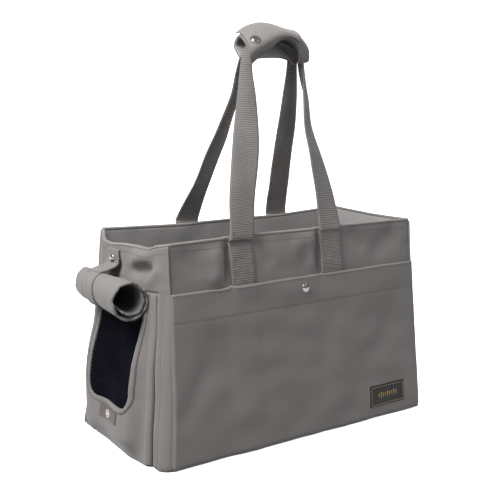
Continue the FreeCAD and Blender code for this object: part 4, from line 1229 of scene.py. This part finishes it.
def ribbon(name, centres, sides, widths, material, thickness, columns=9, cups=None, count=60,
           puckers=None):
    """A strap through the given centres: sides are the width directions, cups how far it is folded."""
    table = np.hstack([np.asarray(centres, float), np.asarray(sides, float),
                       np.asarray(widths, float)[:, None],
                       np.asarray(cups if cups is not None else np.zeros(len(widths)), float)[:, None]])
    dense = spline(table, count)
    centre, side, width, cup = dense[:, :3], dense[:, 3:6], dense[:, 6], dense[:, 7]
    ways = np.gradient(centre, axis=0)
    ways = ways / np.linalg.norm(ways, axis=1, keepdims=True)
    side = side - (side * ways).sum(1, keepdims=True) * ways
    side = side / np.linalg.norm(side, axis=1, keepdims=True)
    out = np.cross(side, ways)
    across = np.linspace(-1, 1, columns)
    points = (centre[:, None, :] + side[:, None, :] * across[None, :, None] * width[:, None, None] / 2
              + out[:, None, :] * (cup[:, None] * (1 - across[None, :] ** 2))[..., None])
    if puckers is not None:
        points = points + out[:, None, :] * puckers(points)[..., None]
    length = np.concatenate([[0], np.cumsum(np.linalg.norm(np.diff(centre, axis=0), axis=1))])
    uv = np.stack(np.broadcast_arrays(across[None, :] * 19 * MM, length[:, None]), -1).reshape(-1, 2)
    strap = make(name, points.reshape(-1, 3), grid_faces(*points.shape[:2]), material, uv)
    thicken(strap, thickness, 0.0)
    return outward(strap)


TAB_MIDDLE = (TAB[0].y + TAB[1].y) / 2 + 7 * MM
TAB_WIDTH = 29 * MM


def build_tabs():
    """The tab sewn to each collar: the left one reaches over the roll and holds its strap."""
    for side in ("left", "right"):
        y = TAB_MIDDLE
        flat = [(TAB[1].z, 1.6), (TAB[1].z - 7 * MM, 2.0), (TAB[1].z - 15 * MM, 2.4), (TAB[0].z + 9 * MM, 2.6)]
        centres = [skin(side, y, true_height(side, y, z), out * MM) for z, out in flat]
        if side == "left":
            reach = [(76, 7.0, -2), (92, 4.6, -4), (108, 4.3, -6)]
            centres.append(np.array([centres[-1][0] - 3.6 * MM, y, TAB[0].z + 2.6 * MM]))
            centres += [roll_outline(y + shift * MM, math.radians(a), -out * MM) for a, out, shift in reach]
        else:
            centres += [skin(side, y, true_height(side, y, TAB[0].z), 2.4 * MM)]
        sides = [(0, 1, 0)] * len(centres)
        widths = [TAB_WIDTH] * (len(centres) - 2) + [TAB_WIDTH - 2 * MM, TAB_WIDTH - 5 * MM]
        tab = ribbon(f"{side}_tab_cloth", centres, sides, widths, CANVAS, 2.0 * MM, count=30)
        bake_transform(tab)
        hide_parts(f"{side}_cover_tab")
        z = true_height(side, y, TAB[0].z + 11 * MM)
        snap_cap(f"{side}_tab_snap", skin(side, y, z, 3.9 * MM), skin_normal(side, y, z), 5.8 * MM,
                 f"{side}_tab", f"{side}_tab_snap_cap")
        line_z = np.linspace(TAB[1].z - 1.5 * MM, TAB[0].z + 10 * MM, 20)
        for hand, place in (("front", -12.4), ("rear", 12.4)):
            row = wall_stitches(f"{side}_tab_stitches_{hand}", side, y + place * MM,
                                true_height(side, y + place * MM, line_z), 3.3 * MM, THREAD)
            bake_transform(row)


def build_right_cover():
    """The right window's cover, let down and hanging flat."""
    y = np.linspace(COVER[0].y, COVER[1].y, 44)
    z = np.linspace(COVER[0].z, COVER[1].z, 62)
    grid_y, grid_z = np.meshgrid(y, z)
    hang = smooth((COVER[1].z - grid_z) / 0.08)
    out = 3.6 * MM + hang * (1.2 + 0.9 * np.sin(grid_y * 75 + 0.6) * (0.3 + hang * 0.6)) * MM
    out = out - 3.0 * MM * smooth((grid_z - COVER[1].z + 6 * MM) / (6 * MM))
    cover = grid_piece("hanging_cover", skin("right", grid_y, grid_z, out), CANVAS)
    outward_from_axis(cover)
    thicken(cover, 1.8 * MM, -1.0)
    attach(cover, "right_cover")
    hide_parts("right_window_cover")
    for name, s, height in (("low", y[2:-2], np.full(40, z[0] + 7 * MM)),
                            ("front", np.full(58, y[0] + 6 * MM), z[2:-2]),
                            ("rear", np.full(58, y[-1] - 6 * MM), z[2:-2])):
        h = smooth((COVER[1].z - height) / 0.08)
        o = 3.6 * MM + h * (1.2 + 0.9 * np.sin(s * 75 + 0.6) * (0.3 + h * 0.6)) * MM + 0.15 * MM
        row = wall_stitches(f"cover_stitches_{name}", "right", s, height, o, THREAD_DARK)
        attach(row, "right_cover")


# ---- handles and grip ---------------------------------------------------------------------------------------

FRONT_HANDLE = [
    # x, y, z in millimetres, width direction x, y, z, width, fold
    (-88, -67, 342, 1, 0.12, 0, 38, 0.4),
    (-71, -50, 388, 1, 0.32, 0, 38, 1.0),
    (-60, -37, 424, 1, 0.45, 0, 34, 2.2),
    (-50, -24, 466, 0.9, 0.55, 0, 25, 4.0),
    (-43, -13, 502, 0.8, 0.7, 0, 16.5, 3.4),
    (-36, -8, 527, 0.5, 0.85, 0, 15, 2.0),
    (-18, -5, 540, 0.2, 1.0, 0.2, 16, 1.0),
    (12, -5, 547, 0, 1.0, 0.1, 16, 0.8),
    (40, -6, 541, -0.1, 1.0, 0.0, 16, 1.0),
    (56, -7, 524, -0.15, 1.0, 0, 16, 1.8),
    (59, -10, 500, -0.3, 0.95, 0, 18, 3.0),
    (56.5, -22, 464, -0.72, 0.70, 0, 25, 4.0),
    (51.5, -38, 424, -0.85, 0.53, 0, 33, 1.6),
    (53.5, -52, 384, -0.9, 0.44, 0, 38, 0.8),
    (56.5, -67, 340, -0.97, 0.25, 0, 38, 0.3),
]
REAR_HANDLE = [
    (-58, 68, 335, 0.95, 0.30, 0, 38, 0.3),
    (-49, 53, 378, 0.92, 0.38, 0, 38, 1.0),
    (-41, 38, 420, 0.9, 0.44, 0, 35, 2.4),
    (-35, 24, 462, 0.88, 0.48, 0, 28, 4.0),
    (-37, 13, 500, 0.75, 0.7, 0, 19, 3.4),
    (-34, 8, 525, 0.5, 0.85, 0, 16, 1.6),
    (-18, 5, 536, 0.2, 1.0, 0.2, 16, 1.0),
    (12, 5, 543, 0, 1.0, 0.1, 16, 0.8),
    (40, 6, 537, -0.2, 1.0, 0.0, 16, 1.0),
    (55, 7, 523, -0.5, 0.85, 0, 14, 2.0),
    (60, 12, 500, -0.7, 0.7, 0, 14.5, 3.4),
    (67.5, 24, 462, -0.85, 0.5, 0, 21, 4.2),
    (75, 38, 420, -0.95, 0.32, 0, 27, 2.6),
    (81.5, 53, 378, -1, 0.15, 0, 32, 1.2),
    (88.7, 68, 335, -1, 0.0, 0, 37, 0.4),
]


def build_handle(side, stations, left, right, tail_foot):
    """One loop of webbing with both sewn tails: up from the wall, through the grip and down again."""
    sign = -1 if side == "front" else 1

    def tail(x, heights):
        rows = []
        for z in heights:
            place = skin(side, x, z, 1.5 * MM)
            rows.append((*place, 0, 0, 0, STRAP_WIDTH, 0.0))
        return rows
    heights = np.linspace(tail_foot, RIM_HEIGHT - 4 * MM, 10)
    over = sign * (HALF_RIM_DEPTH + 2.6 * MM)
    rows = [(p[0], p[1], p[2], 1, 0, 0, STRAP_WIDTH, 0.0) for p in tail(left, heights)]
    rows.append((left + 1.5 * MM, over, RIM_HEIGHT + 5 * MM, 1, 0, 0, STRAP_WIDTH, 0.0))
    for x, y, z, a, b, c, width, fold in stations:
        rows.append((x * MM, y * MM, z * MM, a, b * sign, c, width * MM, fold * MM))
    rows.append((right, over, RIM_HEIGHT + 5 * MM, -1, 0, 0, STRAP_WIDTH, 0.0))
    rows += [(p[0], p[1], p[2], -1, 0, 0, STRAP_WIDTH, 0.0) for p in tail(right, heights[::-1])]
    table = np.array(rows)

    def puckers(points):
        """The sewn tails are gathered a little by their stitching, the free webbing hardly at all."""
        x, z = points[..., 0], points[..., 2]
        sewn = smooth((RIM_HEIGHT - 4 * MM - z) / (10 * MM))
        soft = smooth((z - RIM_HEIGHT) / 0.05)
        gathered = 0.34 * MM * ripple(x, z * 1.4 + x * 0.6, 0.010, 91) + 0.3 * MM * ripple(x * 2, z, 0.03, 92)
        return (sewn * gathered
                + soft * 0.8 * MM * ripple(x, z, 0.05, 93))
    strap = ribbon(f"{side}_handle_strap", table[:, :3], table[:, 3:6], table[:, 6], WEBBING, 1.8 * MM,
                   columns=13, cups=table[:, 7], count=420, puckers=puckers)
    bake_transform(strap)
    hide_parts(f"{side}_handle_webbing", f"{side}_left_strap_tail", f"{side}_right_strap_tail")
    z = np.linspace(tail_foot, RIM_HEIGHT - 6 * MM, 60)
    for hand, x in (("left", left), ("right", right)):
        for edge in (-16, 16):
            row = wall_stitches(f"{side}_{hand}_tail_stitches_{'a' if edge < 0 else 'b'}", side, x + edge * MM,
                                z, 2.45 * MM, THREAD_DARK)
            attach(row, "root")


GRIP_STATIONS = [
    # each row: front edge, front face, crown, rear face, rear edge, as x, y, z in millimetres
    [(-33, -12, 508), (-42, -19, 527), (-41, 6, 548), (-42, 18, 534), (-38, 6, 513)],
    [(-25, -15, 516), (-29, -21, 536), (-25, 9, 558), (-26, 21, 540), (-20, 8, 515)],
    [(-7, -18, 529), (-9, -21, 545), (-5, 10, 564), (-4, 22, 543), (0, 11, 517)],
    [(12, -19, 542), (12, -17, 552), (14, 10, 563), (17, 22, 541), (18, 13, 518)],
    [(31, -19, 545), (33, -15, 552), (36, 9, 557), (38, 21, 537), (37, 12, 518)],
    [(45, -18, 536), (52, -16, 545), (58, 6, 554), (56, 19, 534), (49, 10, 515)],
    [(52, -15, 520), (66, -17, 531), (74, 4, 541), (69, 16, 526), (54, 8, 509)],
    [(52, -10, 511), (68, -15, 514), (80, 2, 522), (72, 13, 514), (56, 5, 507)],
]


def build_grip():
    """The padded wrap: a saddle of canvas over both handle runs, with a flap that snaps over its top."""
    stations = np.array(GRIP_STATIONS, float) * MM
    profiles = np.array([spline(row, 33) for row in stations])
    surface = np.array([spline(profiles[:, k], 48) for k in range(33)]).transpose(1, 0, 2)
    inner = grid_piece("grip_wrap", surface, [CANVAS, LINING])
    outward_from_axis(inner, (0.01, 0.0, 0.52))
    thicken(inner, 4.2 * MM, -1.0, inner_slot=1, levels=1)
    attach(inner, "rear_handle")
    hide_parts("grip_pad")

    start, end = 3, 20
    strip = surface[1:34, start:end]
    ds = np.gradient(surface, axis=0)[1:34, start:end]
    dk = np.gradient(surface, axis=1)[1:34, start:end]
    normal = np.cross(ds, dk)
    normal /= np.linalg.norm(normal, axis=-1, keepdims=True)
    middle = np.array([0.01, 0.0, 0.53])
    flip = np.sign(((strip - middle) * normal).sum(-1).mean())
    normal *= flip
    share = np.linspace(0, 1, end - start)
    stand = 0.9 * MM + 1.4 * MM * smooth((share - 0.1) / 0.3) + 2.2 * MM * smooth((share - 0.8) / 0.2)
    flap_points = strip + normal * stand[None, :, None]
    flap = grid_piece("grip_flap_cloth", flap_points, [CANVAS_EDGE, CANVAS])
    outward_from_axis(flap, (0.01, 0.0, 0.52))
    thicken(flap, 2.0 * MM, 0.0, levels=1)
    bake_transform(flap)
    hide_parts("grip_flap")
    i, k = 5, 7
    centre = flap_points[i, k] + normal[i, k] * 1.1 * MM
    snap_cap("grip_snap", centre, normal[i, k], 6.4 * MM, "grip_flap", "grip_snap_cap")
    back = flap_points[i, k] - normal[i, k] * 1.1 * MM
    snap_cap("grip_socket", back, -normal[i, k], 4.0 * MM, "grip_flap", "grip_snap_socket", material=SOCKET,
             height=0.8 * MM)


# ---- inside --------------------------------------------------------------------------------------------------

def build_mat():
    """The loose padded mat on the base board: crowned, with three quilted grooves across it."""
    low, high = MAT
    pad = 7 * MM
    x = np.linspace(low.x + pad, high.x - pad, 90)
    y = np.linspace(low.y + pad, high.y - pad, 44)
    grid_x, grid_y = np.meshgrid(x, y)
    u = 2 * (grid_x - low.x) / (high.x - low.x) - 1
    v = 2 * (grid_y - low.y) / (high.y - low.y) - 1
    crown = (np.clip(1 - u ** 10, 0, 1) * np.clip(1 - v ** 8, 0, 1)) ** 0.5
    quilt = sum(np.exp(-((grid_x - place) / (5 * MM)) ** 2) for place in (-0.11, 0.0, 0.11))
    lift = crown * (8.5 * MM - 2.6 * MM * quilt + 0.5 * MM * ripple(grid_x, grid_y, 0.08, 83))
    top = np.stack([grid_x, grid_y, low.z + 7 * MM + lift], -1)
    under = np.stack([grid_x, grid_y, low.z + 0.4 * MM + 5.0 * MM * (1 - crown)], -1)
    n = grid_x.size
    rows, cols = grid_x.shape
    faces = grid_faces(rows, cols) + [tuple(n + i for i in f[::-1]) for f in grid_faces(rows, cols)]
    border = ([c for c in range(cols)] + [r * cols + cols - 1 for r in range(1, rows)]
              + [(rows - 1) * cols + c for c in range(cols - 2, -1, -1)]
              + [r * cols for r in range(rows - 2, 0, -1)])
    for a, b in zip(border, border[1:] + border[:1]):
        faces.append((b, a, n + a, n + b))
    points = np.concatenate([top.reshape(-1, 3), under.reshape(-1, 3)])
    cushion = outward(make("mat_cushion", points, faces, MAT_CLOTH))
    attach(cushion, "root")
    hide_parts("comfort_mat")
    return cushion


def build_mouth_snaps():
    for name in ("front", "rear"):
        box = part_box(f"{name}_mouth_snap")
        y, z = (box[0].y + box[1].y) / 2, (box[0].z + box[1].z) / 2
        normal = -skin_normal("left", y, z)
        centre = skin("left", y, z, -WALL)
        snap_cap(f"{name}_mouth_stud", centre, normal, 4.6 * MM, "root", f"{name}_mouth_snap", material=SOCKET,
                 height=1.6 * MM)


# ---- camera, light and floor ------------------------------------------------------------------------------------

CAMERA_ANGLES = (-38.74, 10.18, 1.21)
CAMERA_TARGET = (-0.0191, 0.0, 0.2499)
CAMERA_DISTANCE = 1.4907
CAMERA_LENS = 75.52
LAMPS = [
    # name, place, size in metres, power in watts
    ("key", (-1.75, -0.25, 2.0), 1.1, 78),
    ("front", (1.0, -2.2, 1.6), 1.6, 7),
]


def build_stage():
    azimuth, elevation, roll = (math.radians(angle) for angle in CAMERA_ANGLES)
    target = Vector(CAMERA_TARGET)
    way = Vector((math.sin(azimuth) * math.cos(elevation), -math.cos(azimuth) * math.cos(elevation),
                  math.sin(elevation)))
    camera_data = bpy.data.cameras.new("camera")
    camera_data.lens = CAMERA_LENS
    camera_data.sensor_width = 36
    camera_data.dof.use_dof = False
    camera = bpy.data.objects.new("camera", camera_data)
    bpy.context.scene.collection.objects.link(camera)
    place = target + way * CAMERA_DISTANCE
    look = (target - place).to_track_quat("-Z", "Y").to_matrix().to_4x4()
    camera.matrix_world = Matrix.Translation(place) @ look @ Matrix.Rotation(roll, 4, "Z")
    bpy.context.scene.camera = camera

    white = bpy.data.materials.new("white_paper")
    white.use_nodes = True
    shader = white.node_tree.nodes["Principled BSDF"]
    shader.inputs["Base Color"].default_value = (1, 1, 1, 1)
    shader.inputs["Emission Color"].default_value = (1, 1, 1, 1)
    shader.inputs["Emission Strength"].default_value = 1.0
    floor = make("floor", [(-4, -4, 0), (4, -4, 0), (4, 4, 0), (-4, 4, 0)], [(0, 1, 2, 3)], white)
    floor.location.z = -0.4 * MM
    wall = make("wall", [(-4, 3, -1), (4, 3, -1), (4, 3, 5), (-4, 3, 5)], [(0, 1, 2, 3)], white)
    wall.rotation_euler.z = azimuth
    for piece in (floor, wall):
        piece.visible_diffuse = False

    world = bpy.data.worlds.new("world")
    world.use_nodes = True
    world.node_tree.nodes["Background"].inputs["Color"].default_value = (1, 1, 1, 1)
    tree = world.node_tree
    apart = add(tree, "ShaderNodeSeparateXYZ")
    tree.links.new(add(tree, "ShaderNodeTexCoord").outputs["Generated"], apart.inputs["Vector"])
    climb = add(tree, "ShaderNodeMapRange", interpolation_type="SMOOTHSTEP")
    for field, value in (("From Min", -0.5), ("From Max", 0.7), ("To Min", 0.06), ("To Max", 0.64)):
        climb.inputs[field].default_value = value
    tree.links.new(apart.outputs["Z"], climb.inputs["Value"])
    tree.links.new(climb.outputs["Result"], tree.nodes["Background"].inputs["Strength"])
    bpy.context.scene.world = world
    bpy.context.scene.view_settings.view_transform = "Standard"
    for name, place, size, energy in LAMPS:
        light = bpy.data.lights.new(name, "AREA")
        light.size = size
        light.energy = energy
        lamp = bpy.data.objects.new(name, light)
        bpy.context.scene.collection.objects.link(lamp)
        lamp.location = place
        lamp.rotation_euler = (Vector((0, 0, 0.25)) - Vector(place)).to_track_quat("-Z", "Y").to_euler()


build_stage()
build_shell()
build_base()
build_binding()
build_corner_seams()
build_pocket()
build_pocket_snap()
build_label()
build_door()
build_window("left", "left_door")
build_window("right", "root")
build_zips()
build_tag()
build_roll()
build_wrap_strap()
build_tabs()
build_right_cover()
build_handle("front", FRONT_HANDLE, *FRONT_STRAPS, FRONT_TAIL_FOOT)
build_handle("rear", REAR_HANDLE, *REAR_STRAPS, REAR_TAIL_FOOT)
build_grip()
build_mat()
build_mouth_snaps()
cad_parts["base_board"].data.materials.clear()
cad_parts["base_board"].data.materials.append(BOARD)
